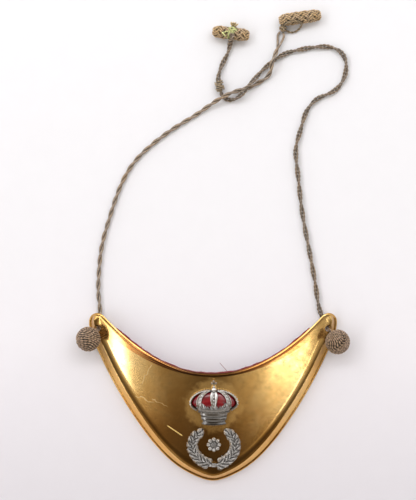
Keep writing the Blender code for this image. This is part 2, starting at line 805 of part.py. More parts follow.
def ball_middle(side):
    """A ball rests on the plate's front, over the edge beside its hole."""
    sign = -1.0 if side == "left" else 1.0
    x = sign * (hole_x() + BALL_OFFSET)
    y = hole_y() - BALL_DROPS[side]
    front, _ = plate_rings()
    reach = BALL_RADIUS + SEAT_GAP
    height = reach
    for ring in front:
        for step in np.linspace(0.0, 1.0, 4):
            points = ring + (np.roll(ring, -1, axis=0) - ring) * step
            away = np.hypot(points[:, 0] - x, points[:, 1] - y)
            near = away < reach
            height = max([height, *(points[near, 2] + np.sqrt(reach ** 2 - away[near] ** 2))])
    return np.array((x, y, height))


def build_ball(side, material):
    """A thread-wound ball with the thread shank that ties it through the horn's hole."""
    middle = ball_middle(side)
    sign = -1.0 if side == "left" else 1.0
    steps = np.radians(np.linspace(-82.0, 82.0, 13))
    profile = [(math.sin(step), BALL_RADIUS * math.cos(step)) for step in steps]
    vertices, faces = turned(profile, BALL_RADIUS, 24)
    ball = add_object("ball_" + side, [middle + v for v in np.array(vertices)], faces, material)
    toward = middle[:2] - np.array((sign * hole_x(), hole_y()))
    toward /= np.linalg.norm(toward)
    foot = np.array((sign * hole_x(), hole_y())) + toward * SHANK_OFFSET
    surface = field_height(*foot)
    low = max(LEFT_CORD, RIGHT_CORD) + SEAT_GAP
    inside = middle + (np.array((*foot, surface)) - middle) * 0.45
    bent = foot + toward * SHANK_RADIUS * 0.5
    path = smooth_curve([(*foot, low), (*foot, surface), (*bent, surface + SHANK_RADIUS), inside])
    shank_points, _ = resample(path, np.linspace(0.0, travelled(path)[-1], 8))
    vertices, faces = shank(shank_points, toward)
    tool = add_object("shank", vertices, faces, material)
    return combine(ball, tool, "UNION", material)


def shank(points, toward):
    """A rod whose path stays in one upright plane, which holds the direction toward."""
    level = np.array((-toward[1], toward[0], 0.0))
    headings = np.gradient(points, axis=0)
    headings /= np.linalg.norm(headings, axis=1)[:, None]
    vertices = []
    for place, heading in zip(points, headings):
        other = np.cross(heading, level)
        for side in range(10):
            angle = 2.0 * math.pi * side / 10
            vertices.append(tuple(place + SHANK_RADIUS * (level * math.cos(angle) + other * math.sin(angle))))
    return loft(vertices, 10)


def cord_curve(route, diameter, other_diameter):
    """A smooth way through a route: the cord lies on the surface, and is lifted over the other cord."""
    lift = other_diameter + CROSSING_GAP
    curve = smooth_curve([(x, y, diameter / 2.0 + over * lift) for x, y, over in route])
    curve[:, 2] = np.maximum(curve[:, 2], diameter / 2.0)
    return curve


def cord_points(curve, diameter):
    """Points along a cord, closer together where it bends."""
    way = travelled(curve)
    headings = np.gradient(curve, way, axis=0)
    headings /= np.linalg.norm(headings, axis=1)[:, None]
    bend = np.linalg.norm(np.gradient(headings, way, axis=0), axis=1)
    tight = np.clip(bend * TIGHT_BEND * diameter, 0.0, 1.0)
    spacing = diameter * (STRAIGHT_SPACING + (BEND_SPACING - STRAIGHT_SPACING) * tight)
    steps = np.concatenate(([0.0], np.cumsum(np.diff(way) / spacing[1:])))
    lengths = np.interp(np.linspace(0.0, steps[-1], round(steps[-1]) + 1), steps, way)
    return resample(curve, lengths)[0]


def build_cord(name, curve, diameter, material):
    points = cord_points(curve, diameter)
    data = bpy.data.curves.new(name, "CURVE")
    data.dimensions = "3D"
    data.bevel_depth = diameter / 2.0
    data.bevel_resolution = 2
    data.use_fill_caps = True
    spline = data.splines.new("POLY")
    spline.points.add(len(points) - 1)
    for point, place in zip(spline.points, points):
        point.co = (*place, 1.0)
    data.materials.append(material)
    obj = bpy.data.objects.new(name, data)
    bpy.context.scene.collection.objects.link(obj)
    return obj


def build_slide_knot(material):
    """A wrapped knot with a bore for the right cord, lying on the surface."""
    bore = RIGHT_CORD / 2.0 + SEAT_GAP
    outer = bore + KNOT_WALL
    first, last = (Vector(RIGHT_ROUTE[row][:2]) for row in KNOT_STRETCH)
    along = (last - first).normalized()
    middle = (first + last) / 2.0
    full = 0.5 - KNOT_ROUNDING
    end = outer - 0.6 * KNOT_WALL
    profile = ((-0.5, bore), (-0.5, end), (-full, outer), (full, outer), (0.5, end), (0.5, bore))
    knot = add_object("slide_knot", *turned(profile, KNOT_LENGTH, closed=True), material)
    knot.rotation_euler = (0.0, 0.0, math.atan2(along.y, along.x))
    knot.location = (middle.x, middle.y, outer)
    return knot


def toggle_radius(share, waist, length):
    """Radius of a barrel with full ends, at a share of its half length, drawn in at the waist."""
    barrel = TOGGLE_RADIUS * max(0.0, 1.0 - share ** 4) ** 0.3
    if waist and abs(share) * length / 2.0 <= WAIST_WIDTH / 2.0 + SEAT_GAP:
        return TOGGLE_RADIUS - WAIST_DEPTH
    return barrel


def build_toggle(side, material):
    x, y, length, turn = TOGGLES[side]
    waist = side == "left"
    edge = 2.0 * (WAIST_WIDTH / 2.0 + SEAT_GAP) / length
    half = [*TOGGLE_SHARES, edge + 0.01, edge] if waist else [*TOGGLE_SHARES, 0.25]
    shares = sorted({-share for share in half} | set(half))
    profile = [(share / 2.0, toggle_radius(share, waist, length)) for share in shares]
    toggle = add_object("toggle_" + side, *turned(profile, length), material)
    toggle.rotation_euler = (0.0, 0.0, math.radians(turn))
    toggle.location = (x, y, TOGGLE_RADIUS)
    return toggle


def build_lashing_left(material):
    """Thread wound round the left toggle's waist."""
    x, y, _, turn = TOGGLES["left"]
    inner = TOGGLE_RADIUS - WAIST_DEPTH + SEAT_GAP
    end = TOGGLE_RADIUS - 0.2 * WAIST_DEPTH
    full = TOGGLE_RADIUS
    profile = ((-0.5, inner), (-0.5, end), (-0.3, full), (0.3, full), (0.5, end), (0.5, inner))
    lashing = add_object("lashing_left", *turned(profile, WAIST_WIDTH, closed=True), material)
    lashing.rotation_euler = (0.0, 0.0, math.radians(turn))
    lashing.location = (x, y, TOGGLE_RADIUS)
    return lashing


def build_lashing_right(material):
    """The small knot that ties the left cord to its toggle."""
    steps = np.radians(np.linspace(-80.0, 80.0, 8))
    profile = [(math.sin(step), END_KNOT_RADIUS * math.cos(step)) for step in steps]
    knot = add_object("lashing_right", *turned(profile, END_KNOT_RADIUS, 12), material)
    knot.location = (*END_KNOT_AT, END_KNOT_RADIUS)
    return knot


def main():
    clear_scene()
    brass = make_material("gilt_brass", (0.72, 0.46, 0.16), 0.18, 1.0)
    silver = make_material("oxidised_silver", (0.62, 0.60, 0.57), 0.35, 1.0)
    enamel = make_material("red_enamel", (0.24, 0.01, 0.02), 0.15, 0.0)
    cloth = make_material("burgundy_cloth", (0.15, 0.02, 0.03), 0.9, 0.0)
    thread = make_material("metallic_thread", (0.25, 0.18, 0.13), 0.5, 0.4)
    yellow = make_material("yellow_thread", (0.72, 0.74, 0.25), 0.6, 0.0)
    build_plate(brass)
    build_lining(cloth)
    build_crown_frame(silver)
    build_crown_enamel(enamel)
    build_wreath(silver)
    build_rosette(silver)
    for side in ("left", "right"):
        build_ball(side, thread)
        build_toggle(side, thread)
    build_cord("neck_cord_left", cord_curve(LEFT_ROUTE, LEFT_CORD, RIGHT_CORD), LEFT_CORD, thread)
    build_cord("neck_cord_right", cord_curve(RIGHT_ROUTE, RIGHT_CORD, LEFT_CORD), RIGHT_CORD, thread)
    build_slide_knot(thread)
    build_lashing_left(yellow)
    build_lashing_right(thread)


main()
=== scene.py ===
# %% [markdown]
# # An officer's neck gorget, seen from straight above
#
# The gorget is a crescent of gilt brass that hung under the collar on two cords. The plate, crown, wreath,
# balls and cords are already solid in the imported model, which is loaded first as a fixed frame. Everything
# that follows dresses that frame: finer surfaces in the same places, and a finish for each of them.
#
# Lengths are metres. The surface that the gorget lies on is z = 0, +Y runs from the bottom tip towards the
# toggles, and the origin is under the middle of the plate.

# %% Load the frame
import itertools
import math

import bmesh
import bpy
import numpy as np
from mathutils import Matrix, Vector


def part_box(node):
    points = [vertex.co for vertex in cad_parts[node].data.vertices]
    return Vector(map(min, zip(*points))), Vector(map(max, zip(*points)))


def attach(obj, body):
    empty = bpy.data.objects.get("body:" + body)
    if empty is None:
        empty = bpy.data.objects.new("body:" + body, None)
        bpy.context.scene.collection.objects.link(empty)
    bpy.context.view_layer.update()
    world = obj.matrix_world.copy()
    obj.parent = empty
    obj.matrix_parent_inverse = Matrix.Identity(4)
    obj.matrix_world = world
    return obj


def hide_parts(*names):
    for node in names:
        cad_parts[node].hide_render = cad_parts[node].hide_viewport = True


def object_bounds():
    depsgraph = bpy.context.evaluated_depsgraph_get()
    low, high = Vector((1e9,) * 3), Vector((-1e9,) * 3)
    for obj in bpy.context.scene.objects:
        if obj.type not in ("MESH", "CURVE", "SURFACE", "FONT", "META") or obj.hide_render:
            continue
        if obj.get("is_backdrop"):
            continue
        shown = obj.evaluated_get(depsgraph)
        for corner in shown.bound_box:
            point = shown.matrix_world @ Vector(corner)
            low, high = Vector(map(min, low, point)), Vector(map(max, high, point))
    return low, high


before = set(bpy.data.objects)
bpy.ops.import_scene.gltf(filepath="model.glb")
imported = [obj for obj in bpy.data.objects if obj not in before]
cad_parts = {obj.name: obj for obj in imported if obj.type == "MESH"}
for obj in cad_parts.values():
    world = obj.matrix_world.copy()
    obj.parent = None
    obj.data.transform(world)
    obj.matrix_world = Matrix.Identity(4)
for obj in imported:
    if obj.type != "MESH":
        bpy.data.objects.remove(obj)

cad_low, cad_high = (np.array(corner, float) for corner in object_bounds())
print("CAD box in millimetres:", np.round(cad_low * 1000, 1), np.round(cad_high * 1000, 1))

# %% [markdown]
# ## Camera
#
# The photograph looks straight down from about a metre and a half, so nearly every outline keeps its true
# proportions. A long lens at that distance gives the same calm view. The lens is chosen so that the height of
# the picture is 281.7 mm at the level of the brass, or 0.563 mm for each of the 500 rows.

# %% Camera
CAMERA_HEIGHT = 1.5
VIEW_MIDDLE = (-0.0028, 0.0828)
VIEW_HEIGHT = 0.2817      # what the picture takes in from bottom to top
VIEW_LEVEL = 0.004        # the height at which it does so

camera_data = bpy.data.cameras.new("camera")
camera_data.sensor_fit = "VERTICAL"
camera_data.sensor_height = 24.0
camera_data.lens = 24.0 * (CAMERA_HEIGHT - VIEW_LEVEL) / VIEW_HEIGHT
camera_data.clip_end = 10.0
camera = bpy.data.objects.new("camera", camera_data)
camera.location = (*VIEW_MIDDLE, CAMERA_HEIGHT)
bpy.context.scene.collection.objects.link(camera)
bpy.context.scene.camera = camera
print("lens", round(camera_data.lens, 1), "mm")

# %% [markdown]
# ## Surfaces from arrays
#
# Nearly every piece here is a grid of points that two numbers steer: how far along, and how far round. The
# points of a whole grid are worked out at once with numpy. A small helper joins neighbouring points with
# four-sided faces, and writes the two numbers into a UV map, so that a material can follow the surface.

# %% Grids of points to meshes
def grid_faces(rows, columns, wrap_columns=False, wrap_rows=False):
    """Corner rows and columns of every face of a grid, as two arrays of four per face."""
    row, column = np.meshgrid(
        np.arange(rows if wrap_rows else rows - 1),
        np.arange(columns if wrap_columns else columns - 1),
        indexing="ij",
    )
    corner_rows = np.stack((row, row, row + 1, row + 1), axis=-1).reshape(-1, 4)
    corner_columns = np.stack((column, column + 1, column + 1, column), axis=-1).reshape(-1, 4)
    return corner_rows, corner_columns


def grid_shape(points, along, around, wrap_columns=True, wrap_rows=False, caps=True):
    """A shape from a grid of points, rows by columns by 3.

    along and around give the UV map: one value for each row and each column, and one more where the grid
    closes on itself. Open ends of a tube are closed with a flat face each.
    """
    rows, columns = points.shape[:2]
    corner_rows, corner_columns = grid_faces(rows, columns, wrap_columns, wrap_rows)
    faces = (corner_rows % rows) * columns + corner_columns % columns
    uv = np.stack((np.asarray(along)[corner_rows], np.asarray(around)[corner_columns]), axis=-1)
    shape = {"points": points.reshape(-1, 3), "faces": faces.tolist(), "uv": [uv.reshape(-1, 2)]}
    if caps and wrap_columns and not wrap_rows:
        last = (rows - 1) * columns
        shape["faces"] += [list(range(columns))[::-1], list(range(last, last + columns))]
        flat = np.zeros((columns, 2))
        shape["uv"] += [flat + (along[0], 0.0), flat + (along[-1], 0.0)]
    return shape


def join_shapes(shapes):
    """One shape from several: points and UV after each other, faces counted on."""
    start = 0
    joined = {"points": [], "faces": [], "uv": []}
    for shape in shapes:
        joined["points"].append(shape["points"])
        joined["faces"] += [[corner + start for corner in face] for face in shape["faces"]]
        joined["uv"] += shape["uv"]
        start += len(shape["points"])
    joined["points"] = np.concatenate(joined["points"])
    return joined


def enclosed(shape):
    """Signed volume inside a closed shape: a sixth of the sum of a . (b x c) over its faces' triangles."""
    points = shape["points"]
    total = 0.0
    for size in {len(face) for face in shape["faces"]}:
        faces = np.array([face for face in shape["faces"] if len(face) == size])
        first = points[faces[:, 0]]
        for corner in range(1, size - 1):
            second, third = points[faces[:, corner]], points[faces[:, corner + 1]]
            total += np.einsum("ij,ij->", first, np.cross(second, third))
    return total / 6.0


def put_piece(name, shape, material, sharp=None):
    """Make an object of a closed shape, with its faces turned outwards and its place in its mesh.
    """
    mesh = bpy.data.meshes.new(name)
    mesh.from_pydata(shape["points"].tolist(), [], shape["faces"])
    layer = mesh.uv_layers.new(name="surface")
    layer.data.foreach_set("uv", np.concatenate(shape["uv"]).astype(np.float32).ravel())
    if enclosed(shape) < 0.0:
        mesh.flip_normals()
    mesh.materials.append(material)
    mesh.shade_smooth()
    if sharp:
        mesh.set_sharp_from_angle(angle=math.radians(sharp))
    piece = bpy.data.objects.new(name, mesh)
    bpy.context.scene.collection.objects.link(piece)
    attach(piece, "root")
    print(name, len(mesh.vertices), "points", len(mesh.polygons), "faces")
    return piece


# %% [markdown]
# ## Curves
#
# Cords, arches and stems all follow a few points. The way between the points is a cubic spline: each stretch
# is a cubic, and the slopes are chosen so that the bend runs on evenly through every point.

# %% Smooth curves and frames along them
SPLINE_SAMPLES = 24


def smooth_curve(points, start=None, end=None, samples=SPLINE_SAMPLES):
    """Read a cubic spline through the points, over their chord lengths.

    Between two points a and b with slopes p and q it is a(1+2t)(1-t)^2 + b t^2(3-2t) + p h t(1-t)^2
    + q h t^2(t-1), with h their distance. The slopes solve one small system of equations.
    """
    points = np.asarray(points, float)
    steps = np.linalg.norm(np.diff(points, axis=0), axis=1)
    slopes = np.diff(points, axis=0) / steps[:, None]
    count = len(points)
    inner = np.arange(1, count - 1)
    system = np.zeros((count, count))
    right = np.zeros_like(points)
    system[inner, inner - 1] = steps[1:]
    system[inner, inner] = 2.0 * (steps[:-1] + steps[1:])
    system[inner, inner + 1] = steps[:-1]
    right[inner] = 3.0 * (steps[1:, None] * slopes[:-1] + steps[:-1, None] * slopes[1:])
    for row, near, direction, slope in ((0, 1, start, slopes[0]), (-1, -2, end, slopes[-1])):
        system[row, row] = 1.0 if direction else 2.0
        system[row, near] = 0.0 if direction else 1.0
        right[row] = direction if direction else 3.0 * slope
    tangents = np.linalg.solve(system, right)
    t = np.linspace(0.0, 1.0, samples, endpoint=False)[None, :, None]
    h = steps[:, None, None]
    a, b, p, q = points[:-1, None], points[1:, None], tangents[:-1, None], tangents[1:, None]
    curve = (
        a * (1 + 2 * t) * (1 - t) ** 2 + b * t ** 2 * (3 - 2 * t)
        + p * h * t * (1 - t) ** 2 + q * h * t ** 2 * (t - 1)
    )
    return np.concatenate((curve.reshape(-1, points.shape[1]), points[-1:]))


def travelled(points):
    """Length of the way to each point."""
    return np.concatenate(([0.0], np.cumsum(np.linalg.norm(np.diff(points, axis=0), axis=1))))


def normalized(vectors):
    """The same directions, each one unit long."""
    return vectors / np.linalg.norm(vectors, axis=-1, keepdims=True)


def at_lengths(rows, way, lengths):
    """Rows at the given lengths, where way is the length travelled to each row."""
    return np.stack([np.interp(lengths, way, column) for column in rows.T], axis=1)


def resample(points, lengths):
    """Points and unit directions at the given lengths along a finely sampled curve."""
    way = travelled(points)
    headings = at_lengths(np.gradient(points, way, axis=0), way, lengths)
    return at_lengths(points, way, lengths), normalized(headings)


def even_steps(points, step):
    """The same way in steps of one size, and the length travelled to each point."""
    length = travelled(points)[-1]
    lengths = np.linspace(0.0, length, int(length / step) + 1)
    return resample(points, lengths)[0], lengths


def side_frame(path):
    """Two directions square to a path that lies nearly flat: level across it, and up."""
    heading = normalized(np.gradient(path, axis=0))
    across = normalized(np.cross(heading, (0.0, 0.0, 1.0)))
    return across, np.cross(across, heading)


def turning_frame(path, hint):
    """Two directions square to any path: the hint's part square to it, and the third direction."""
    heading = normalized(np.gradient(path, axis=0))
    hint = np.broadcast_to(np.asarray(hint, float), path.shape)
    one = normalized(hint - heading * np.einsum("ij,ij->i", hint, heading)[:, None])
    return one, np.cross(heading, one)


def rod(path, radius, sides=10, hint=None):
    """A round rod: path + radius (one cos a + other sin a). Its ends are domed.

    With a hint, one is the hint's part square to the path. Without it, one lies level across the path.
    """
    one, other = side_frame(path) if hint is None else turning_frame(path, hint)
    way = travelled(path)
    radius = np.broadcast_to(np.asarray(radius, float), (len(path),))
    near = np.clip(np.minimum(way, way[-1] - way) / np.maximum(radius, 1e-6), 0.0, 1.0)
    domed = radius * np.sqrt(np.clip(1.0 - (1.0 - near) ** 2, 0.02, 1.0))
    angle = np.linspace(0.0, 2.0 * math.pi, sides, endpoint=False)[None, :, None]
    around = one[:, None] * np.cos(angle) + other[:, None] * np.sin(angle)
    points = path[:, None] + domed[:, None, None] * around
    return grid_shape(points, way, np.linspace(0.0, 1.0, sides + 1))


def smooth_step(share):
    """0 below 0, 1 above 1, and 3s^2 - 2s^3 between."""
    share = np.clip(share, 0.0, 1.0)
    return share * share * (3.0 - 2.0 * share)


# %% [markdown]
# ## Helpers for materials
#
# Each finish is a small network of Blender's nodes. These helpers shorten the code that lays one out: one
# makes the material with its main shader, one adds a node, and the rest are what comes back in several
# finishes: the place on the piece, arithmetic, noise, open sky, a colour ramp, a mix of colours and a bump.

# %% Material helpers
WHITE = (1.0, 1.0, 1.0)


def make_finish(name, color, roughness, metallic=0.0):
    """A material with its main shader, whose plain values are set on the shader's own sockets."""
    material = bpy.data.materials.new(name)
    material.use_nodes = True
    shader = material.node_tree.nodes["Principled BSDF"]
    shader.inputs["Base Color"].default_value = (*color, 1.0)
    shader.inputs["Roughness"].default_value = roughness
    shader.inputs["Metallic"].default_value = metallic
    return material, shader


def add_node(material, kind, inputs=(), **settings):
    """Add a node, set its properties, and fill its inputs with values or links, by name or number."""
    node = material.node_tree.nodes.new(kind)
    for key, value in settings.items():
        setattr(node, key, value)
    for key, value in dict(inputs).items():
        if isinstance(value, bpy.types.NodeSocket):
            material.node_tree.links.new(value, node.inputs[key])
        else:
            node.inputs[key].default_value = value
    return node


def connect(material, value, shader, socket):
    material.node_tree.links.new(value, shader.inputs[socket])


def split(material, vector):
    """The three parts of a vector."""
    return add_node(material, "ShaderNodeSeparateXYZ", {"Vector": vector}).outputs


def object_place(material):
    """The place on the piece, in the object's own metres."""
    return add_node(material, "ShaderNodeTexCoord").outputs["Object"]


def surface_way(material):
    """The two numbers that steer the piece's surface, from its UV map: along and around."""
    return split(material, add_node(material, "ShaderNodeUVMap", uv_map="surface").outputs["UV"])[:2]


def arithmetic(material, operation, *values):
    node = add_node(material, "ShaderNodeMath", dict(enumerate(values)), operation=operation)
    return node.outputs["Value"]


def plus(material, one, other):
    return arithmetic(material, "ADD", one, other)


def minus(material, one, other):
    return arithmetic(material, "SUBTRACT", one, other)


def times(material, one, other):
    return arithmetic(material, "MULTIPLY", one, other)


def larger(material, one, other):
    return arithmetic(material, "MAXIMUM", one, other)


def away(material, value, middle=0.0):
    """How far a value is from a middle one."""
    return arithmetic(material, "ABSOLUTE", minus(material, value, middle))


def wave(material, value, length):
    """A sine from -1 to 1 that comes back after each length."""
    return arithmetic(material, "SINE", times(material, value, 2.0 * math.pi / length))


def fade(material, value, low, high):
    """1 below low and 0 above high, with a straight slope between."""
    inputs = {"Value": value, "From Min": low, "From Max": high, "To Min": 1.0, "To Max": 0.0}
    return add_node(material, "ShaderNodeMapRange", inputs).outputs["Result"]


def noise(material, place, scale, detail=3.0, roughness=0.5, distortion=0.0):
    """Cloudy values from 0 to 1 around 0.5."""
    node = add_node(material, "ShaderNodeTexNoise", {
        "Vector": place, "Scale": scale, "Detail": detail, "Roughness": roughness, "Distortion": distortion,
    })
    return node.outputs["Fac"]


def open_sky(material, distance, samples=6, **settings):
    """Share of the sky that nothing hides within a distance: 1 on high points and near 0 in recesses."""
    node = add_node(material, "ShaderNodeAmbientOcclusion", {"Distance": distance}, samples=samples, **settings)
    return node.outputs["AO"]


def ramp(material, value, stops):
    """Turn a value into a colour, or a grey, through a few stops of place and colour."""
    node = add_node(material, "ShaderNodeValToRGB", {"Fac": value})
    elements = node.color_ramp.elements
    while len(elements) < len(stops):
        elements.new(0.5)
    for element, (place, color) in zip(elements, stops):
        element.position = place
        element.color = (color, color, color, 1.0) if isinstance(color, float) else (*color, 1.0)
    return node.outputs["Color"]


def mix_colors(material, share, one, other, blend="MIX"):
    """The first color where the share is 0 and the second where it is 1, or their blend there."""
    node = add_node(material, "ShaderNodeMix", data_type="RGBA", blend_type=blend)
    for socket, value in ((node.inputs[0], share), (node.inputs[6], one), (node.inputs[7], other)):
        if isinstance(value, bpy.types.NodeSocket):
            material.node_tree.links.new(value, socket)
        elif isinstance(value, tuple):
            socket.default_value = (*value, 1.0)
        else:
            socket.default_value = value
    return node.outputs[2]


def tinted(material, color, tint, share=1.0):
    """The color times the tint, to a share."""
    return mix_colors(material, share, color, tint, "MULTIPLY")


def bump(material, height, distance, strength, under=None):
    """A normal for a height of the given distance, over the normal of a coarser bump if there is one."""
    inputs = {"Height": height, "Distance": distance, "Strength": strength}
    if under is not None:
        inputs["Normal"] = under
    return add_node(material, "ShaderNodeBump", inputs).outputs["Normal"]


# %% [markdown]
# ## Thread
#
# The cords, balls and toggles are all worked in one metal thread: a fine flat wire wound round a core of
# yarn. Once it was bright, and it has dulled to a warm grey-brown. What shows at this scale is the winding,
# as very fine slanting lines on every strand, and some strands that kept a golden or a pinkish cast. A
# painted shade darkens the hollows between the strands, and a painted highlight lifts their crests. The
# winding follows the strand, so it reads the UV map.

# %% Thread finish
GROOVE_SHADE = ((0.40, 0.04), (0.70, 0.45), (0.94, 1.30))          # brightness over the share of open sky
DEEP_GROOVE_SHADE = ((0.55, 0.03), (0.80, 0.42), (0.96, 1.35))


def thread_finish(
    name, light, middle, dark, windings=2600.0, slant=9.0, golden=0.0, gold_tone=(0.40, 0.235, 0.085),
    deep=0.0011, seed=0.0, groove_shade=GROOVE_SHADE,
):
    """Metal thread. The UV map runs along the strand in metres and round it from 0 to 1.

    windings are the wire's turns in a metre, slant how many of them one round crosses, golden how much more
    of the golden cast shows, and deep how far the painted shade of a hollow looks for open sky. The last stops
    turn that share of open sky into painted shade in the hollows and a painted highlight on the crests.
    """
    material, shader = make_finish(name, middle, 0.5)
    for socket, value in (("Specular IOR Level", 0.45), ("Sheen Weight", 0.12), ("Sheen Roughness", 0.4)):
        shader.inputs[socket].default_value = value
    along, around = surface_way(material)
    shift = {"Vector": object_place(material), "Location": (seed, seed * 0.7, 0.0)}
    place = add_node(material, "ShaderNodeMapping", shift).outputs["Vector"]
    turns = plus(material, times(material, along, windings), times(material, around, slant))
    wire = arithmetic(material, "MULTIPLY_ADD", wave(material, turns, 1.0), 0.5, 0.5)
    patches = noise(material, place, 170.0, 4.0, 0.6)
    strands = noise(material, place, 1400.0, 3.0, 0.65)
    tone = ramp(material, strands, ((0.30, dark), (0.50, middle), (0.72, light)))
    warmth = ramp(material, patches, ((0.42, 0.0), (0.68, 1.0)))
    tone = mix_colors(material, times(material, warmth, 0.30 + golden), tone, gold_tone)
    tone = tinted(material, tone, ramp(material, wire, ((0.0, 0.62), (0.55, 1.0))), 0.75)
    # Painted shade in the hollows between strands, and a painted highlight on their crests, from the share of open
    # sky.
    tone = tinted(material, tone, ramp(material, open_sky(material, deep), groove_shade))
    connect(material, tone, shader, "Base Color")
    connect(material, ramp(material, strands, ((0.3, 0.62), (0.7, 0.36))), shader, "Roughness")
    normal = bump(material, wire, 0.00006, 0.7)
    connect(material, bump(material, strands, 0.00008, 0.5, normal), shader, "Normal")
    return material


cord_finish = thread_finish("cord_thread", (0.47, 0.40, 0.325), (0.275, 0.22, 0.17), (0.10, 0.075, 0.056))
ball_finish = thread_finish(
    "ball_thread", (0.68, 0.51, 0.37), (0.35, 0.235, 0.155), (0.07, 0.045, 0.030),
    deep=0.0018, seed=0.3, groove_shade=DEEP_GROOVE_SHADE,
)
toggle_finish = thread_finish(
    "toggle_thread", (1.0, 0.79, 0.52), (0.74, 0.53, 0.32), (0.18, 0.115, 0.06),
    golden=0.30, gold_tone=(0.66, 0.40, 0.12), deep=0.0012, seed=0.6,
)

# %% [markdown]
# ## Neck cords
#
# Each cord is two strands twisted round each other. In the left one the strands are smooth and the twist is
# open, so it looks like a row of long beads, 7 mm each. In the right one each strand is itself plied from two
# yarns, and their short slanting ridges are what catches the light.
#
# The way of a cord is the route that the frame's solids follow, point for point. A strand's middle circles
# that way: it is the way + r (across cos f + up sin f), where f grows evenly with the length. Ply inside a
# strand is the same formula once more, with the strand's own middle as the way.

# %% Cord routes
LEFT_CORD = 0.0025        # diameters
RIGHT_CORD = 0.0030
CROSSING_GAP = 0.0010     # between the cords where one lies over the other

# x, y, and how far the cord is lifted over the other one, as a share of a full crossing
LEFT_ROUTE = (
    (-0.0643, 0.0377, 0.0), (-0.0639, 0.0428, 0.0), (-0.0637, 0.0483, 0.0), (-0.0646, 0.0573, 0.0),
    (-0.0646, 0.0663, 0.0), (-0.0640, 0.0753, 0.0), (-0.0630, 0.0833, 0.0), (-0.0610, 0.0923, 0.0),
    (-0.0588, 0.0995, 0.0), (-0.0566, 0.1067, 0.0), (-0.0516, 0.1202, 0.0), (-0.0448, 0.1319, 0.0),
    (-0.0350, 0.1418, 0.0), (-0.0197, 0.1530, 0.0), (-0.0080, 0.1602, 0.0), (-0.0011, 0.1650, 0.35),
    (0.0023, 0.1671, 0.75), (0.0058, 0.1691, 1.0), (0.0091, 0.1707, 0.90), (0.0123, 0.1720, 0.45),
    (0.0162, 0.1734, 0.08), (0.0214, 0.1750, 0.0), (0.0265, 0.1777, 0.0), (0.0305, 0.1804, 0.12),
    (0.0324, 0.1834, 0.45), (0.0329, 0.1862, 0.85), (0.0334, 0.1888, 1.0), (0.0344, 0.1914, 0.88),
    (0.0357, 0.1946, 0.45), (0.0371, 0.1984, 0.08), (0.0380, 0.2020, 0.0), (0.0387, 0.2060, 0.0),
)

RIGHT_ROUTE = (
    (0.0651, 0.0383, 0.0), (0.0634, 0.0420, 0.0), (0.0612, 0.0463, 0.0), (0.0586, 0.0579, 0.0),
    (0.0552, 0.0780, 0.0), (0.0498, 0.1082, 0.0), (0.0476, 0.1283, 0.0), (0.0471, 0.1424, 0.0),
    (0.0491, 0.1494, 0.0), (0.0538, 0.1628, 0.0), (0.0591, 0.1682, 0.0), (0.0640, 0.1705, 0.0),
    (0.0689, 0.1730, 0.0), (0.0724, 0.1769, 0.0), (0.0752, 0.1858, 0.0), (0.0745, 0.1907, 0.0),
    (0.0721, 0.1945, 0.0), (0.0683, 0.1967, 0.0), (0.0628, 0.1976, 0.0), (0.0518, 0.1964, 0.0),
    (0.0408, 0.1936, 0.0), (0.0370, 0.1916, 0.0), (0.0330, 0.1885, 0.0), (0.0285, 0.1848, 0.0),
    (0.0250, 0.1808, 0.40), (0.0221, 0.1776, 0.90), (0.0195, 0.1749, 1.0), (0.0178, 0.1725, 0.97),
    (0.0157, 0.1702, 0.75), (0.0131, 0.1684, 0.35), (0.0105, 0.1676, 0.06), (0.0078, 0.1680, 0.0),
    (0.0055, 0.1697, 0.10), (0.0043, 0.1723, 0.315), (0.0037, 0.1754, 0.315), (0.0031, 0.1785, 0.315),
    (0.0035, 0.1824, 0.10), (0.0048, 0.1865, 0.0), (0.0086, 0.1947, 0.0), (0.0100, 0.2010, 0.0),
)


def cord_way(route, diameter, other_diameter):
    """The cord lies on the surface, and is lifted over the other cord where they cross."""
    lift = other_diameter + CROSSING_GAP
    curve = smooth_curve([(x, y, diameter / 2.0 + over * lift) for x, y, over in route])
    curve[:, 2] = np.maximum(curve[:, 2], diameter / 2.0)
    return curve


# %% Twisted strands
STEP = 0.0003             # between the rings of a strand


def circling(path, radius, turns, start=0.0):
    """The middle of a strand that circles a path: path + radius (across cos f + up sin f)."""
    across, up = side_frame(path)
    angle = (2.0 * math.pi * turns + start)[:, None]
    radius = np.broadcast_to(np.asarray(radius, float), (len(path),))[:, None]
    return path + radius * (across * np.cos(angle) + up * np.sin(angle))


def twisted(path, diameter, pitch, plies=1, ply_pitch=0.004, start=0.0, spread=None, sides=10):
    """Two strands round a path, each of one smooth yarn or of several plied ones.

    The strands share the cord's diameter. spread says how many times wider apart than usual they run.
    """
    way = travelled(path)
    strand = diameter / 4.0
    spread = np.ones(len(path)) if spread is None else spread
    turns = -np.cumsum(np.gradient(way) / spread ** 2) / pitch
    shapes = []
    for half in (0.0, math.pi):
        middle = circling(path, strand * spread, turns, start + half)
        middle[:, 2] = np.maximum(middle[:, 2], strand)
        if plies == 1:
            shapes.append(rod(middle, strand * 1.04, sides))
            continue
        yarn = strand * 0.50
        for ply in range(plies):
            yarn_middle = circling(middle, strand - yarn, -way / ply_pitch, 2.0 * math.pi * ply / plies)
            shapes.append(rod(yarn_middle, yarn * 1.08, sides))
    return join_shapes(shapes)


# %% The two cords
LEFT_PITCH = 0.0138       # one whole turn of the strands
RIGHT_PITCH = 0.0226
EYE_LENGTH = 0.0105       # before its knot the left cord's strands part, and close again only at the knot
EYE_SPREAD = 3.3

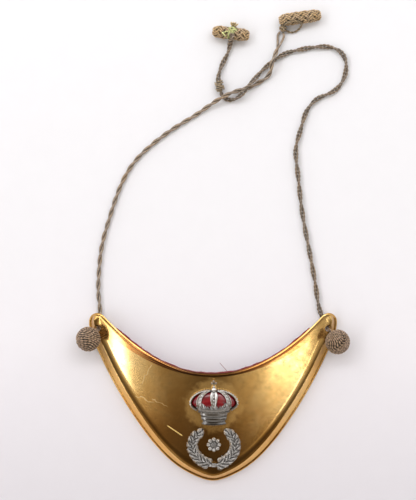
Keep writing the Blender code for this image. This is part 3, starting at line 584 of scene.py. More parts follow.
left_path, left_lengths = even_steps(cord_way(LEFT_ROUTE, LEFT_CORD, RIGHT_CORD), STEP)
to_knot = left_lengths[-1] - left_lengths
closing = 0.25 + 0.75 * smooth_step(to_knot / 0.0028)
left_spread = 1.0 + (EYE_SPREAD - 1.0) * smooth_step(1.0 - to_knot / EYE_LENGTH) * closing
level_end = 2.0 * math.pi * np.cumsum(np.gradient(left_lengths) / left_spread ** 2)[-1] / LEFT_PITCH
left_shape = twisted(left_path, LEFT_CORD, LEFT_PITCH, spread=left_spread, start=level_end)
left_cord = put_piece("neck_cord_left_strands", left_shape, cord_finish)
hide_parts("neck_cord_left")

right_path, right_lengths = even_steps(cord_way(RIGHT_ROUTE, RIGHT_CORD, LEFT_CORD), STEP)
right_shape = twisted(right_path, RIGHT_CORD, RIGHT_PITCH, plies=2, ply_pitch=0.0042, sides=8)
right_cord = put_piece("neck_cord_right_strands", right_shape, cord_finish)
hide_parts("neck_cord_right")
print("cords", round(left_lengths[-1] * 1000, 1), round(right_lengths[-1] * 1000, 1), "mm long")

# %% [markdown]
# ## The plate's outline
#
# The outline is two curves that meet on the round end of each horn: an outer one that swells from the bottom
# tip, and a neck one, a parabola. Everything else about the plate is measured from them: the flat lip, the
# bevel, the rim and the bowed field.

# %% Outline
SPAN = 0.140
HEIGHT = 0.0948
NECK_DEPTH = 0.0337
HORN_RADIUS = 0.0050
FIELD_RISE = 0.0112
FIELD_SWELL = 0.0003
EDGE_RISE = 0.00085          # how much the field rises towards the bevel, within EDGE_BAND of it
EDGE_BAND = 0.0052
SHEET = 0.0009
LIP_WIDTH = 0.0010
BEVEL_WIDTH = 0.0043
BEVEL_HEIGHT = 0.0044
RIM_WIDTH = 0.0014
RIM_HEIGHT = 0.0005
HOLE_RADIUS = 0.00165
HOLE = np.array((SPAN / 2.0 - 0.0052, HEIGHT / 2.0 - 0.0088))
HORN = np.array((SPAN / 2.0 - HORN_RADIUS, HEIGHT / 2.0 - HORN_RADIUS))
NECK_Y = HEIGHT / 2.0 - NECK_DEPTH

OUTER_EDGE = (
    (0.000, 0.000), (0.127, 0.025), (0.279, 0.089), (0.439, 0.202), (0.597, 0.359),
    (0.756, 0.553), (0.851, 0.690), (0.923, 0.808), (1.000, 1.000),
)
BEVEL_TAPER = ((0.00, 0.75), (0.25, 1.00), (0.86, 1.00), (0.97, 0.68), (1.00, 0.60))


def neck_corner_angle():
    """Where the horn's round end runs on into the neck edge, y = NECK_Y + k x^2, without a corner."""
    angle = math.radians(135.0)
    for _ in range(40):
        x, y = HORN + HORN_RADIUS * np.array((math.cos(angle), math.sin(angle)))
        angle = math.radians(90.0) + math.atan(2.0 * (y - NECK_Y) / x)
    return angle


def horn_arc(from_angle, to_angle):
    angles = np.linspace(from_angle, to_angle, 96)
    return HORN + HORN_RADIUS * np.stack((np.cos(angles), np.sin(angles)), axis=1)


def outline_halves():
    """The right half: the outer curve from the tip and the neck curve from its middle.

    With them come the lengths at which the horn's round end starts on each.
    """
    corner = neck_corner_angle()
    edge = [(SPAN / 2.0 * x, (HEIGHT - HORN_RADIUS) * y - HEIGHT / 2.0) for x, y in OUTER_EDGE]
    edge = smooth_curve(edge, start=(1.0, 0.0), end=(0.0, 1.0), samples=60)
    outer = np.concatenate((edge, horn_arc(0.0, corner / 2.0)[1:]))
    end = horn_arc(corner, corner)[0]
    x = np.linspace(0.0, end[0], 600)
    neck_edge = np.stack((x, NECK_Y + (end[1] - NECK_Y) * (x / end[0]) ** 2), axis=1)
    neck = np.concatenate((neck_edge, horn_arc(corner, corner / 2.0)[1:]))
    return outer, neck, travelled(edge)[-1], travelled(neck_edge)[-1]


def field_height(x, y):
    """The field's front: it bows forward from the outer edge, h = m + t y - c x^2, most at the neck edge.

    Over that it swells a little between the two edges, by a product that is nought on either of them.
    """
    deep = NECK_Y + HEIGHT / 2.0
    tilt = FIELD_RISE / deep
    middle = tilt * HEIGHT / 2.0
    curve = (middle + tilt * HORN[1]) / (SPAN / 2.0) ** 2
    aside = (2.0 * x / SPAN) ** 2
    from_outer = y + HEIGHT / 2.0 - (HORN[1] + HEIGHT / 2.0) * aside
    from_neck = NECK_Y + (HORN[1] - NECK_Y) * aside - y
    pillow = 4.0 * FIELD_SWELL * from_outer * from_neck / deep ** 2
    return BEVEL_HEIGHT + middle + tilt * y - curve * x * x + pillow


outer_half, neck_half, outer_length, neck_length = outline_halves()
print("outer edge", round(outer_length * 2000, 1), "mm, neck edge", round(neck_length * 2000, 1), "mm")

# %% [markdown]
# ## The plate
#
# A section through the sheet is carried round the whole outline. On the outer side the section is a flat lip,
# a crease, a bevel that climbs 4 mm, and a crisp shoulder. On the neck side it is a rounded rim with a groove
# behind it. Round each horn the one turns into the other. Inside this border the field is a second grid,
# whose height is the formula above. The section is dense where it bends, so that the polish shows no facets.

# %% Plate surface
COLUMNS = 260             # from the bottom tip to a horn
FIELD_ROWS = 60

# Front section from the outline inwards. Outer side: inset from the outline, climb from foot to field and
# height. Neck side: inset and height over the field. Lengths are shares of the sheet, lip, bevel and rim.
# The bevel's corner climbs a little past the field, to 1.026, and the last row comes back to it.
LIP_SECTION = (
    # inset in LIP_WIDTH, share across the bevel, climb, height in SHEET,
    # then for the neck side: inset in RIM_WIDTH, rise in RIM_HEIGHT
    (0.22, 0.0, 0.0, -1.00, 0.20, -1.80),
    (0.06, 0.0, 0.0, -0.92, 0.06, -1.60),
    (0.00, 0.0, 0.0, -0.68, 0.00, -1.10),
    (0.05, 0.0, 0.0, -0.48, 0.01, -0.60),
    (0.18, 0.0, 0.0, -0.29, 0.05, -0.25),
    (0.38, 0.0, 0.0, -0.12, 0.14, 0.02),
    (0.65, 0.0, 0.0, 0.00, 0.34, 0.40),
    (0.88, 0.0, 0.0, -0.06, 0.56, 0.80),
    (1.00, 0.0, 0.0, -0.14, 0.68, 0.98),
    (1.00, 0.03, 0.034, 0.0, 0.75, 1.02),
    (1.00, 0.12, 0.136, 0.0, 0.82, 0.86),
    (1.00, 0.30, 0.338, 0.0, 0.90, 0.36),
    (1.00, 0.50, 0.560, 0.0, 0.98, -0.06),
    (1.00, 0.70, 0.780, 0.0, 1.08, -0.20),
    (1.00, 0.87, 0.967, 0.0, 1.20, -0.15),
    (1.00, 0.915, 1.012, 0.0, 1.34, -0.06),
    (1.00, 0.94, 1.026, 0.0, 1.52, -0.015),
    (1.00, 1.04, 1.000, 0.0, 1.72, 0.0),
)


def outline_ring():
    """Places round the outline, directions inward, bevel widths, and the share that belongs to the neck."""
    shares = 1.0 - (1.0 - np.linspace(0.0, 1.0, COLUMNS + 1)) ** 1.5
    outer_way = shares * travelled(outer_half)[-1]
    neck_way = shares * travelled(neck_half)[-1]
    outer_at, outer_heading = resample(outer_half, outer_way)
    neck_at, neck_heading = resample(neck_half, neck_way)
    inward_outer = np.stack((-outer_heading[:, 1], outer_heading[:, 0]), axis=1)
    inward_neck = np.stack((neck_heading[:, 1], -neck_heading[:, 0]), axis=1)
    round_end = HORN_RADIUS * neck_corner_angle()
    past_neck = round_end - (neck_way - neck_length)
    width_shares = np.interp(shares, *zip(*BEVEL_TAPER))
    kernel = np.hanning(25) / np.hanning(25).sum()
    width_shares = np.convolve(np.pad(width_shares, 12, mode="edge"), kernel, "valid")
    half = slice(COLUMNS - 1, None, -1)
    at = np.concatenate((outer_at, neck_at[half]))
    inward = np.concatenate((inward_outer, inward_neck[half]))
    past = np.concatenate((outer_way - outer_length, past_neck[half]))
    width = BEVEL_WIDTH * np.concatenate((width_shares, width_shares[half]))
    lift_from, lift_to = math.radians(10.0), math.radians(95.0)
    neck_share = smooth_step((past / HORN_RADIUS - lift_from) / (lift_to - lift_from))
    mirror = slice(len(at) - 2, 0, -1)
    flip = np.array((-1.0, 1.0))
    both = lambda values, factor=1.0: np.concatenate((values, values[mirror] * factor))
    return both(at, flip), both(inward, flip), both(width), both(neck_share)


def border(ring, section, back=0.0):
    """The section carried round the outline, as rings by places by 3."""
    at, inward, width, neck_share = ring
    columns = (np.array(column)[:, None] for column in zip(*section))
    lip, across, climb, height, neck_inset, neck_rise = columns
    outer_inset = LIP_WIDTH * lip + (width - LIP_WIDTH) * across
    inset = outer_inset + (RIM_WIDTH * neck_inset - outer_inset) * neck_share
    place = at[None] + inward[None] * inset[..., None]
    field = field_height(place[..., 0], place[..., 1]) - back
    foot = SHEET - back
    outer_z = foot + SHEET * height + (field + EDGE_RISE - foot) * climb
    z = outer_z + (field + RIM_HEIGHT * neck_rise - outer_z) * neck_share
    return np.concatenate((place, z[..., None]), axis=-1)


def field_grid(ring, back, neck_share):
    """Rows between the outer and the neck half of a ring, horn to horn, at the field's height.

    Within the edge band it stands higher, by EDGE_RISE (1 - distance from the bevel / EDGE_BAND)^2.
    """
    columns = np.arange(1 - COLUMNS, COLUMNS)
    outer = ring[columns % (4 * COLUMNS)]
    neck = ring[2 * COLUMNS - columns]
    share = (np.arange(1, FIELD_ROWS) / FIELD_ROWS)[:, None, None]
    place = (outer + (neck - outer) * share)[..., :2]
    from_bevel = np.linalg.norm(place - outer[None, :, :2], axis=-1)
    near = np.clip(1.0 - from_bevel / EDGE_BAND, 0.0, 1.0)
    raised = EDGE_RISE * near ** 2 * (1.0 - neck_share[columns % (4 * COLUMNS)])
    z = field_height(place[..., 0], place[..., 1]) + raised - back
    return np.concatenate((place, z[..., None]), axis=-1)


def field_faces(ring_start, start, flip):
    """Faces of the field's rows, joined to the ring on all sides. At the horns they close to triangles."""
    row, column = np.meshgrid(np.arange(FIELD_ROWS + 1), np.arange(-COLUMNS, COLUMNS + 1), indexing="ij")
    index = start + (row - 1) * (2 * COLUMNS - 1) + column + COLUMNS - 1
    index = np.where((row == 0) | (abs(column) == COLUMNS), ring_start + column % (4 * COLUMNS), index)
    index = np.where((row == FIELD_ROWS) & (abs(column) < COLUMNS), ring_start + 2 * COLUMNS - column, index)
    quads = np.stack((index[:-1, :-1], index[:-1, 1:], index[1:, 1:], index[1:, :-1]), axis=-1).reshape(-1, 4)
    if flip:
        quads = quads[:, ::-1]
    return [list(dict.fromkeys(quad)) for quad in quads.tolist()]


# The same columns as the front section's, for the back
BACK_SECTION = (
    (0.45, 0.0, 0.0, 0.0, 0.45, 0.0),
    (1.36, 0.0, 0.0, 0.0, 0.7, 0.0),
    (1.36, 1.05, 1.0, 0.0, 1.3, 0.0),
)

ring = outline_ring()
front_rings = border(ring, LIP_SECTION)
back_rings = border(ring, BACK_SECTION, SHEET)[::-1]
rings = np.concatenate((back_rings, front_rings))
count = 4 * COLUMNS
front_field = field_grid(front_rings[-1], 0.0, ring[3])
back_field = field_grid(back_rings[0], SHEET, ring[3])
strip_rows, strip_columns = grid_faces(len(rings), count, wrap_columns=True)
plate_faces = (strip_rows * count + strip_columns % count).tolist()
ring_points = len(rings) * count
plate_faces += field_faces((len(rings) - 1) * count, ring_points, False)
plate_faces += field_faces(0, ring_points + front_field.size // 3, True)
plate_points = np.concatenate([grid.reshape(-1, 3) for grid in (rings, front_field, back_field)])
plate_shape = {"points": plate_points, "faces": plate_faces}
corners = np.concatenate([np.array(face) for face in plate_faces])
plate_shape["uv"] = [plate_points[corners][:, :2] / SPAN + 0.5]
print("plate", len(plate_points), "points, volume", round(enclosed(plate_shape) * 1e9), "mm3")

# %% [markdown]
# ## Gilt brass
#
# The gilding is a thin bright layer over brass. Wear and old polish leave it mottled: a warm gold in some
# places, browner in others, with specks of tarnish, faint wavy scuffs and fine hairlines. Round the crown the
# polishing cloth never reached, and a paler halo stayed. All of it is painted with noise at three sizes. The
# polish isn't a mirror: a small bump of very low height makes reflections a little uneven. Some of the colour
# is painted shade: in creases, on the horns, along the neck rim and on the sloping bevel.

# %% Gilt brass finish
HALO_SCALE = (65.0, 71.0)             # one over the halo's reach from its middle, across and up
HALO_MIDDLE = (0.0005, -0.0045)
CREASE = 0.0012                       # how far a crease looks for open sky
NECK_CURVE = 6.87                     # the neck edge is y = NECK_Y + NECK_CURVE x^2
HATCHING = 0.0012                     # from line to line

# Marks on the field: start, end, width, and how far they waver
SCRATCH = ((-0.0260, -0.0156), (-0.0169, -0.0217), 0.0007)
SCUFFS = (
    ((-0.0344, 0.0192), (-0.0402, 0.0068), 0.0005, 0.004),
    ((-0.0440, 0.0011), (-0.0327, -0.0028), 0.0005, 0.005),
    ((-0.0345, -0.0005), (-0.0250, -0.0050), 0.0003, 0.004),
)


def line_mark(material, place, start, end, width, waver=0.0):
    """1 on a thin line between two points. The place is turned so that the line runs along x from nought."""
    run = np.array(end) - np.array(start)
    length, angle = float(np.hypot(*run)), math.atan2(run[1], run[0])
    cos, sin = math.cos(angle), math.sin(angle)
    shift = (-cos * start[0] - sin * start[1], sin * start[0] - cos * start[1], 0.0)
    turning = {"Vector": place, "Rotation": (0.0, 0.0, -angle), "Location": shift}
    along, across, _ = split(material, add_node(material, "ShaderNodeMapping", turning).outputs["Vector"])
    if waver:
        swerve = minus(material, noise(material, place, 300.0, 2.0), 0.5)
        across = plus(material, across, times(material, swerve, waver))
    on_line = fade(material, away(material, across), 0.25 * width, 0.6 * width)
    ends = fade(material, away(material, along, length / 2.0), 0.42 * length, 0.5 * length)
    return times(material, on_line, ends)


def mottled_gold(material, place, clouds, mottle):
    """Gold in clouds of three tones, darker where the mottle is low, with specks of tarnish."""
    gold = ramp(material, clouds, (
        (0.30, (0.86, 0.54, 0.18)), (0.50, (0.94, 0.63, 0.24)), (0.70, (0.97, 0.71, 0.33)),
    ))
    gold = tinted(material, gold, ramp(material, mottle, ((0.34, 0.70), (0.54, 1.0))), 0.45)
    specks = ramp(material, noise(material, place, 1500.0, 3.0, 0.6), ((0.28, 0.0), (0.36, 1.0)))
    clean = larger(material, specks, ramp(material, mottle, ((0.40, 0.55), (0.60, 1.0))))
    return mix_colors(material, clean, (0.30, 0.155, 0.05), gold)


def tip_and_slope_tint(material, y, clouds):
    """The field turns browner towards the tip. The sloping bevel and rims get a warm painted shade."""
    _, _, up = split(material, add_node(material, "ShaderNodeNewGeometry").outputs["Normal"])
    on_field = ramp(material, up, ((0.80, 0.0), (0.88, 1.0)))
    share = plus(material, times(material, y, 1.0 / HEIGHT), 0.5)
    share = plus(material, share, times(material, minus(material, clouds, 0.5), 0.25))
    toward_tip = ramp(material, share, (
        (0.10, (0.42, 0.34, 0.24)), (0.28, (0.62, 0.51, 0.40)), (0.44, (0.90, 0.83, 0.74)), (0.60, WHITE),
    ))
    # Painted shade: faces that slope away from the field, the bevel and the rims, get a warm tint that tones down
    # their reflection.
    return mix_colors(material, on_field, (1.0, 0.85, 0.58), toward_tip)


def crown_halo(material, place, mottle):
    """A ragged oval round the crown, from the length of the place in shares of the oval's reach."""
    shift = tuple(-scale * middle for scale, middle in zip(HALO_SCALE, HALO_MIDDLE))
    oval = {"Vector": place, "Scale": (*HALO_SCALE, 0.0), "Location": (*shift, 0.0)}
    centred = add_node(material, "ShaderNodeMapping", oval).outputs["Vector"]
    reach = add_node(material, "ShaderNodeVectorMath", {0: centred}, operation="LENGTH").outputs["Value"]
    reach = plus(material, reach, times(material, minus(material, mottle, 0.5), 0.8))
    return times(material, fade(material, reach, 0.90, 1.12), 0.55)


def rim_colors(material, gold, x, y):
    """The neck rim gets a painted shade, dark in the middle and reddish to the sides, and slanting dark lines on
    the left.
    """
    aside = away(material, x)
    neck_line = times(material, arithmetic(material, "POWER", aside, 2.0), NECK_CURVE)
    from_neck = minus(material, plus(material, neck_line, NECK_Y), y)
    on_rim = times(material, fade(material, from_neck, 0.0016, 0.0022), fade(material, aside, 0.048, 0.056))
    # Painted shade on the neck rim: nearly black in the middle, reddish towards the sides.
    in_middle = fade(material, aside, 0.010, 0.036)
    tint = mix_colors(material, in_middle, (0.84, 0.58, 0.46), (0.10, 0.065, 0.045))
    gold = mix_colors(material, on_rim, gold, tinted(material, gold, tint))
    slanting = minus(material, times(material, x, 0.5), y)
    lines = ramp(material, wave(material, slanting, HATCHING), ((0.10, 0.85), (0.60, 0.0)))
    hatched = times(material, on_rim, fade(material, away(material, x, -0.024), 0.010, 0.018))
    return mix_colors(material, times(material, hatched, lines), gold, (0.07, 0.03, 0.02))


def gilt_finish():
    material, shader = make_finish("gilt_brass", (0.95, 0.64, 0.24), 0.12, 1.0)
    place = object_place(material)
    x, y, _ = split(material, place)
    clouds = noise(material, place, 34.0, 4.0, 0.6, 0.6)
    mottle = noise(material, place, 260.0, 5.0, 0.65)
    gold = mottled_gold(material, place, clouds, mottle)
    gold = tinted(material, gold, tip_and_slope_tint(material, y, clouds))
    halo = crown_halo(material, place, mottle)
    gold = mix_colors(material, halo, gold, (0.95, 0.60, 0.20))
    matt = times(material, halo, 0.42)
    for mark in SCUFFS:
        scuff = line_mark(material, place, *mark)
        gold = mix_colors(material, times(material, scuff, 0.65), gold, (1.0, 0.70, 0.33))
        matt = larger(material, matt, times(material, scuff, 0.45))
    scratch = line_mark(material, place, *SCRATCH)
    gold = mix_colors(material, scratch, gold, (1.0, 0.72, 0.26))
    matt = larger(material, matt, times(material, scratch, 0.85))
    # Painted shade: the gilt darkens in creases and recesses, by how little open sky they see.
    crease_shade = open_sky(material, CREASE, only_local=True)
    gold = tinted(material, gold, ramp(material, crease_shade, (
        (0.38, (0.10, 0.06, 0.03)), (0.62, (0.66, 0.58, 0.45)), (0.82, WHITE),
    )))
    # Painted shade: the horns are darker, in place of the dimmer reflection that their bend gives them.
    on_plate = fade(material, away(material, x), 0.0535, 0.0600)
    gold = tinted(material, gold, mix_colors(material, on_plate, (0.66, 0.64, 0.60), WHITE))     # painted shade on the horns
    connect(material, rim_colors(material, gold, x, y), shader, "Base Color")
    connect(material, minus(material, 1.0, matt), shader, "Metallic")
    stretched = {"Vector": place, "Rotation": (0.0, 0.0, 0.9), "Scale": (1.0, 14.0, 1.0)}
    stretched = add_node(material, "ShaderNodeMapping", stretched).outputs["Vector"]
    hairs = noise(material, stretched, 240.0, 2.0, 0.5)
    rough = ramp(material, mottle, ((0.3, 0.17), (0.7, 0.095)))
    hairlines = times(material, ramp(material, hairs, ((0.55, 0.0), (0.72, 1.0))), 0.05)
    connect(material, plus(material, rough, hairlines), shader, "Roughness")
    normal = bump(material, clouds, 0.00018, 0.35)
    normal = bump(material, mottle, 0.000018, 0.30, normal)
    connect(material, bump(material, hairs, 0.00001, 0.4, normal), shader, "Normal")
    return material


brass_finish = gilt_finish()
plate = put_piece("plate_surface", plate_shape, brass_finish)
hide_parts("gorget_plate")

# %% [markdown]
# ## The holes
#
# Each horn has a plain round hole for the ball's thread and the cord. A hole can be cut with a Boolean
# modifier. The tool is a drill whose rings follow the field, each at its own offset from it, so that the edge
# gets the same soft flare all round.

# %% Cut the holes
def drill_shape(sign):
    offset = np.array((-3.0, -0.9, -0.75, -0.15, -0.05, 0.05, 0.6))[:, None] * 0.001
    flare = np.array((0.12, 0.12, 0.0, 0.0, 0.05, 0.16, 0.75))[:, None] * 0.001
    angle = np.linspace(0.0, 2.0 * math.pi, 40, endpoint=False)[None]
    radius = HOLE_RADIUS + flare
    x = sign * HOLE[0] + radius * np.cos(angle)
    y = HOLE[1] + radius * np.sin(angle)
    z = field_height(x, y) + offset
    return grid_shape(np.stack((x, y, z), axis=-1), np.zeros(7), np.zeros(41))


def cut_away(piece, shape):
    """Cut a closed shape out of a piece, and keep the piece's name, body and material."""
    tool_mesh = bpy.data.meshes.new("tool")
    tool_mesh.from_pydata(shape["points"].tolist(), [], shape["faces"])
    shell = bmesh.new()
    shell.from_mesh(tool_mesh)
    bmesh.ops.recalc_face_normals(shell, faces=shell.faces)
    shell.to_mesh(tool_mesh)
    shell.free()
    tool = bpy.data.objects.new("tool", tool_mesh)
    bpy.context.scene.collection.objects.link(tool)
    cutter = piece.modifiers.new("cut", "BOOLEAN")
    cutter.operation = "DIFFERENCE"
    cutter.solver = "EXACT"
    cutter.object = tool
    bpy.context.view_layer.update()
    result = bpy.data.meshes.new_from_object(piece.evaluated_get(bpy.context.evaluated_depsgraph_get()))
    piece.modifiers.clear()
    piece.data = result
    bpy.data.objects.remove(tool, do_unlink=True)
    print(piece.name, len(result.polygons), "faces after the cut")


cut_away(plate, join_shapes([drill_shape(-1.0), drill_shape(1.0)]))

# %% [markdown]
# ## The lining
#
# A strip of burgundy cloth was glued behind the plate so that it wouldn't rub the coat. Only its edge shows,
# as a thin dark red line past the neck rim. It was cut by hand: how far it peeks out wanders, and single
# fibres stick out of the cut. The strip is a flat closed section carried along the neck edge, and the fibres
# are short rods whose places come from a seeded random generator, so they are the same every time.

# %% Lining
SEAT_GAP = 0.0003
LINING_THICKNESS = 0.0010
LINING_WIDTH = 0.0100
LINING_SHOWS = 0.0008
LINING_REACH = 0.86


def wander(lengths, seed, waves=7, longest=0.06):
    """A smooth random line from about -1 to 1: a sum of sines whose lengths and phases are drawn once."""
    draw = np.random.default_rng(seed)
    size = longest / (1.0 + np.arange(waves)) ** 1.25
    phase = draw.uniform(0.0, 2.0 * math.pi, waves)
    weight = (1.0 + np.arange(waves)) ** -0.6
    waves_of = np.sin(2.0 * math.pi * np.asarray(lengths)[..., None] / size + phase)
    return (waves_of * weight).sum(axis=-1) / weight.sum() * 1.6


WEAVE = 0.0005             # from thread to thread


def cloth_finish():
    material, shader = make_finish("burgundy_cloth", (0.075, 0.012, 0.018), 0.9)
    shader.inputs["Sheen Weight"].default_value = 0.3
    place = object_place(material)
    warp, weft = (wave(material, way, WEAVE) for way in surface_way(material))
    fluff = noise(material, place, 900.0, 3.0, 0.6)
    faded = noise(material, place, 120.0, 2.0, 0.5)
    tone = ramp(material, fluff, (
        (0.3, (0.11, 0.012, 0.018)), (0.6, (0.26, 0.034, 0.042)), (0.8, (0.46, 0.11, 0.11)),
    ))
    faded = ramp(material, faded, ((0.45, 0.0), (0.75, 0.6)))
    connect(material, mix_colors(material, faded, tone, (0.28, 0.05, 0.055)), shader, "Base Color")
    normal = bump(material, fluff, 0.0001, 0.6)
    connect(material, bump(material, times(material, warp, weft), 0.00008, 0.5, normal), shader, "Normal")
    return material


def lining_shape():
    """Sections along the neck edge: place + inward * inset, at the field less the sheet and a gap."""
    reach = LINING_REACH * neck_length
    way = np.linspace(-reach, reach, 420)
    at, heading = resample(neck_half, abs(way))
    sign = np.sign(way)[:, None] * (1.0, 0.0) + (0.0, 1.0)
    inward = np.stack((heading[:, 1], -heading[:, 0]), axis=1) * sign
    at = at * sign
    shows = LINING_SHOWS * (0.72 + 0.38 * wander(way, 3))
    inset = np.array((-1.0, -0.96, -0.7, 0.2, 0.5, 1.0, 1.0, 0.5, 0.2, -0.7, -0.96))[None]
    inset = np.where(inset < 0.0, inset * shows[:, None], inset * LINING_WIDTH)
    depth = np.array((0.5, 0.22, 0.03, 0.0, 0.0, 0.1, 0.9, 1.0, 1.0, 0.97, 0.78))[None] * LINING_THICKNESS
    place = at[:, None] + inward[:, None] * inset[..., None]
    z = field_height(place[..., 0], place[..., 1]) - SHEET - 0.00035 - depth
    points = np.concatenate((place, z[..., None]), axis=-1)
    around = np.concatenate((inset[0], inset[0, :1]))
    strip = grid_shape(points, way, around)
    draw = np.random.default_rng(11)
    fibres = []
    for _ in range(90):
        index = draw.integers(8, 412)
        root = points[index, 0].copy()
        out = -np.append(inward[index], 0.0)
        lean = np.append(heading[index] * sign[index], 0.0) * draw.uniform(-0.9, 0.9)
        size = draw.uniform(0.0003, 0.0009)
        root -= out * 0.0002
        tip = root + (out + lean) * size + (0.0, 0.0, draw.uniform(-0.0002, 0.0002))
        middle = (root + tip) / 2.0 + lean * size * 0.3
        fibres.append(rod(np.array((root, middle, tip)), 0.00006, 5))
    stray = smooth_curve(np.array((
        (8.5, 14.0, 11.6), (7.0, 15.9, 11.9), (5.2, 17.9, 11.4), (3.8, 19.5, 10.4),
    )) * 0.001)
    fibres.append(rod(stray, 0.00013, 6))
    return join_shapes([strip, *fibres])


lining = put_piece("lining_strip", lining_shape(), cloth_finish())
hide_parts("lining")

# %% [markdown]
# ## Silver
#
# The crown and the wreath are cast silver. A cast piece is bright on its high points, where cloth and sleeves
# rubbed it, and nearly black in its recesses, where silver sulphide built up. Blender can tell the two apart
# by ambient occlusion: how much of the sky a point sees within a short distance.

# %% Silver finish
SILVER_REACH = 0.0011      # how far a recess looks for open sky


def silver_finish(name, tone_and_shade, milled=0.0):
    """Cast silver. Stops of brightness over y / 50 mm + 0.5 give the silver's tone, with a painted shade where
    they drop; milled is a pitch of notches.
    """
    material, shader = make_finish(name, (0.74, 0.72, 0.69), 0.27, 1.0)
    place = object_place(material)
    _, y, _ = split(material, place)
    grain = noise(material, place, 2300.0, 3.0, 0.6)
    clouds = noise(material, place, 420.0, 3.0, 0.6)
    worn = plus(material, open_sky(material, SILVER_REACH, 8), times(material, clouds, 0.30))
    tone = ramp(material, worn, (
        (0.60, (0.030, 0.027, 0.027)), (0.84, (0.27, 0.255, 0.24)), (1.06, (0.90, 0.88, 0.86)),
    ))
    # Painted shade from the stops over the height: on the crown it darkens the foot.
    up = arithmetic(material, "MULTIPLY_ADD", y, 20.0, 0.5)
    connect(material, tinted(material, tone, ramp(material, up, tone_and_shade)), shader, "Base Color")
    connect(material, ramp(material, worn, ((0.55, 0.55), (1.0, 0.22))), shader, "Roughness")
    normal = bump(material, grain, 0.00004, 0.6)
    if milled:
        along, _ = surface_way(material)
        normal = bump(material, wave(material, along, milled), 0.00010, 0.6, normal)
    connect(material, normal, shader, "Normal")
    return material


# The crown's foot lies at 0.20 and its top at 0.70, and a painted shade makes the foot the darker of the two
crown_silver = silver_finish("oxidised_silver", ((0.20, 0.17), (0.27, 0.26), (0.36, 0.36), (0.42, 0.66)))
wreath_silver = silver_finish("oxidised_silver_milled", ((0.0, 0.62), (1.0, 0.62)), milled=0.0006)

# %% Small repeated shapes
EMBLEM_X = 0.0005


def bead_shape(rows=7, columns=10):
    """A unit ball: (cos u, sin u cos v, sin u sin v), with small flat poles."""
    u = np.linspace(0.2, math.pi - 0.2, rows)[:, None]
    v = np.linspace(0.0, 2.0 * math.pi, columns, endpoint=False)[None]
    points = np.stack((np.cos(u) + 0.0 * v, np.sin(u) * np.cos(v), np.sin(u) * np.sin(v)), axis=-1)
    return grid_shape(points, np.linspace(0.0, 1.0, rows), np.linspace(0.0, 1.0, columns + 1))


def repeated(shape, places, sizes, headings=None):
    """Copies of a small shape: place + size (x heading + y sideways + z up)."""
    places = np.asarray(places, float).reshape(-1, 3)
    sizes = np.broadcast_to(np.asarray(sizes, float), (len(places),))[:, None]
    headings = np.tile((1.0, 0.0), (len(places), 1)) if headings is None else np.asarray(headings, float)
    x, y, z = shape["points"].T[:, None]
    along, aside = headings[:, :1], headings[:, 1:2]
    moved = np.stack((x * along - y * aside, x * aside + y * along, z + 0.0 * along), axis=-1)
    points = places[:, None] + sizes[..., None] * moved
    size = len(shape["points"])
    faces = [
        [corner + start for corner in face]
        for start in range(0, size * len(places), size) for face in shape["faces"]
    ]
    return {"points": points.reshape(-1, 3), "faces": faces, "uv": shape["uv"] * len(places)}


def seated(shape):
    """Lay a relief made over the flat plane z = 0 onto the field, a hair above it."""
    points = shape["points"].copy()
    points[:, 2] += field_height(points[:, 0], points[:, 1]) + SEAT_GAP
    return {**shape, "points": points}


BEAD = bead_shape()

# %% [markdown]
# ## The crown
#
# The crown is a half round: seen from the front it has a base, a circlet and five arches that meet under an
# orb with a cross. Its frame is made of a few families of surfaces. The base and circlet are one profile with
# all its mouldings, carried round half an ellipse. Each arch is a strip with raised edges that follows one
# common curve, turned about the crown's upright axis. Pearls run along the arches and round the circlet.

# %% Crown: base and circlet
CROWN_BOTTOM = 0.156 * HEIGHT
CROWN_HEIGHT = 0.0247
CROWN_HALF = 0.0275 / 2.0
CROWN_RATIO = 0.00445 / CROWN_HALF     # depth of the half round to its half width
ARCH_LIFT = 0.0013
ORB_RADIUS = 0.0016

# Height on the crown, half width, as shares, and how far the moulding stands proud in millimetres
CIRCLET = (
    (0.000, 0.485, 0.00), (0.006, 0.505, 0.00), (0.030, 0.505, 0.00), (0.040, 0.480, 0.00),
    (0.050, 0.462, 0.00), (0.080, 0.460, 0.00), (0.092, 0.480, 0.00), (0.104, 0.512, 0.05),
    (0.120, 0.526, 0.12), (0.150, 0.530, 0.14), (0.166, 0.522, 0.08), (0.174, 0.508, 0.00),
    (0.188, 0.508, 0.00), (0.196, 0.528, 0.05), (0.206, 0.546, 0.16), (0.222, 0.560, 0.18),
    (0.236, 0.562, 0.06), (0.244, 0.556, 0.00), (0.262, 0.586, 0.00), (0.290, 0.622, 0.00),
    (0.318, 0.652, 0.00), (0.330, 0.672, 0.10), (0.346, 0.694, 0.20), (0.362, 0.708, 0.16),
    (0.374, 0.706, 0.0),
)


def half_round(rows, lift, bow=0.0):
    """Half ellipses stacked up the crown: (half sin a, y, lift + ratio half cos a), closed along the field.

    bow lowers the middle of each row a little, as when one looks slightly down on a round crown.
    """
    rows = np.asarray(rows, float)
    angle = np.radians(np.linspace(-90.0, 90.0, 65))[None]
    half, y, proud = rows[:, 0:1], rows[:, 1:2], rows[:, 2:3]
    x = half * np.sin(angle)
    z = lift + (CROWN_RATIO * half + proud) * np.cos(angle)
    front = np.stack((EMBLEM_X + x, y - bow * np.cos(angle) ** 2 + 0.0 * x, z), axis=-1)
    back_share = np.linspace(1.0, -1.0, 17)[None]
    back = (EMBLEM_X + half * back_share, y - bow * (1.0 - back_share ** 2), 0.0 * half * back_share)
    points = np.concatenate((front, np.stack(back, axis=-1)), axis=1)
    return grid_shape(points, rows[:, 1] - rows[0, 1], np.linspace(0.0, 1.0, points.shape[1] + 1))


CROWN_BOW = 0.0006
circlet_rows = [
    (width * CROWN_HALF, height * CROWN_HEIGHT - CROWN_BOTTOM, proud * 0.001)
    for height, width, proud in CIRCLET
]
circlet = half_round(circlet_rows, ARCH_LIFT, CROWN_BOW)


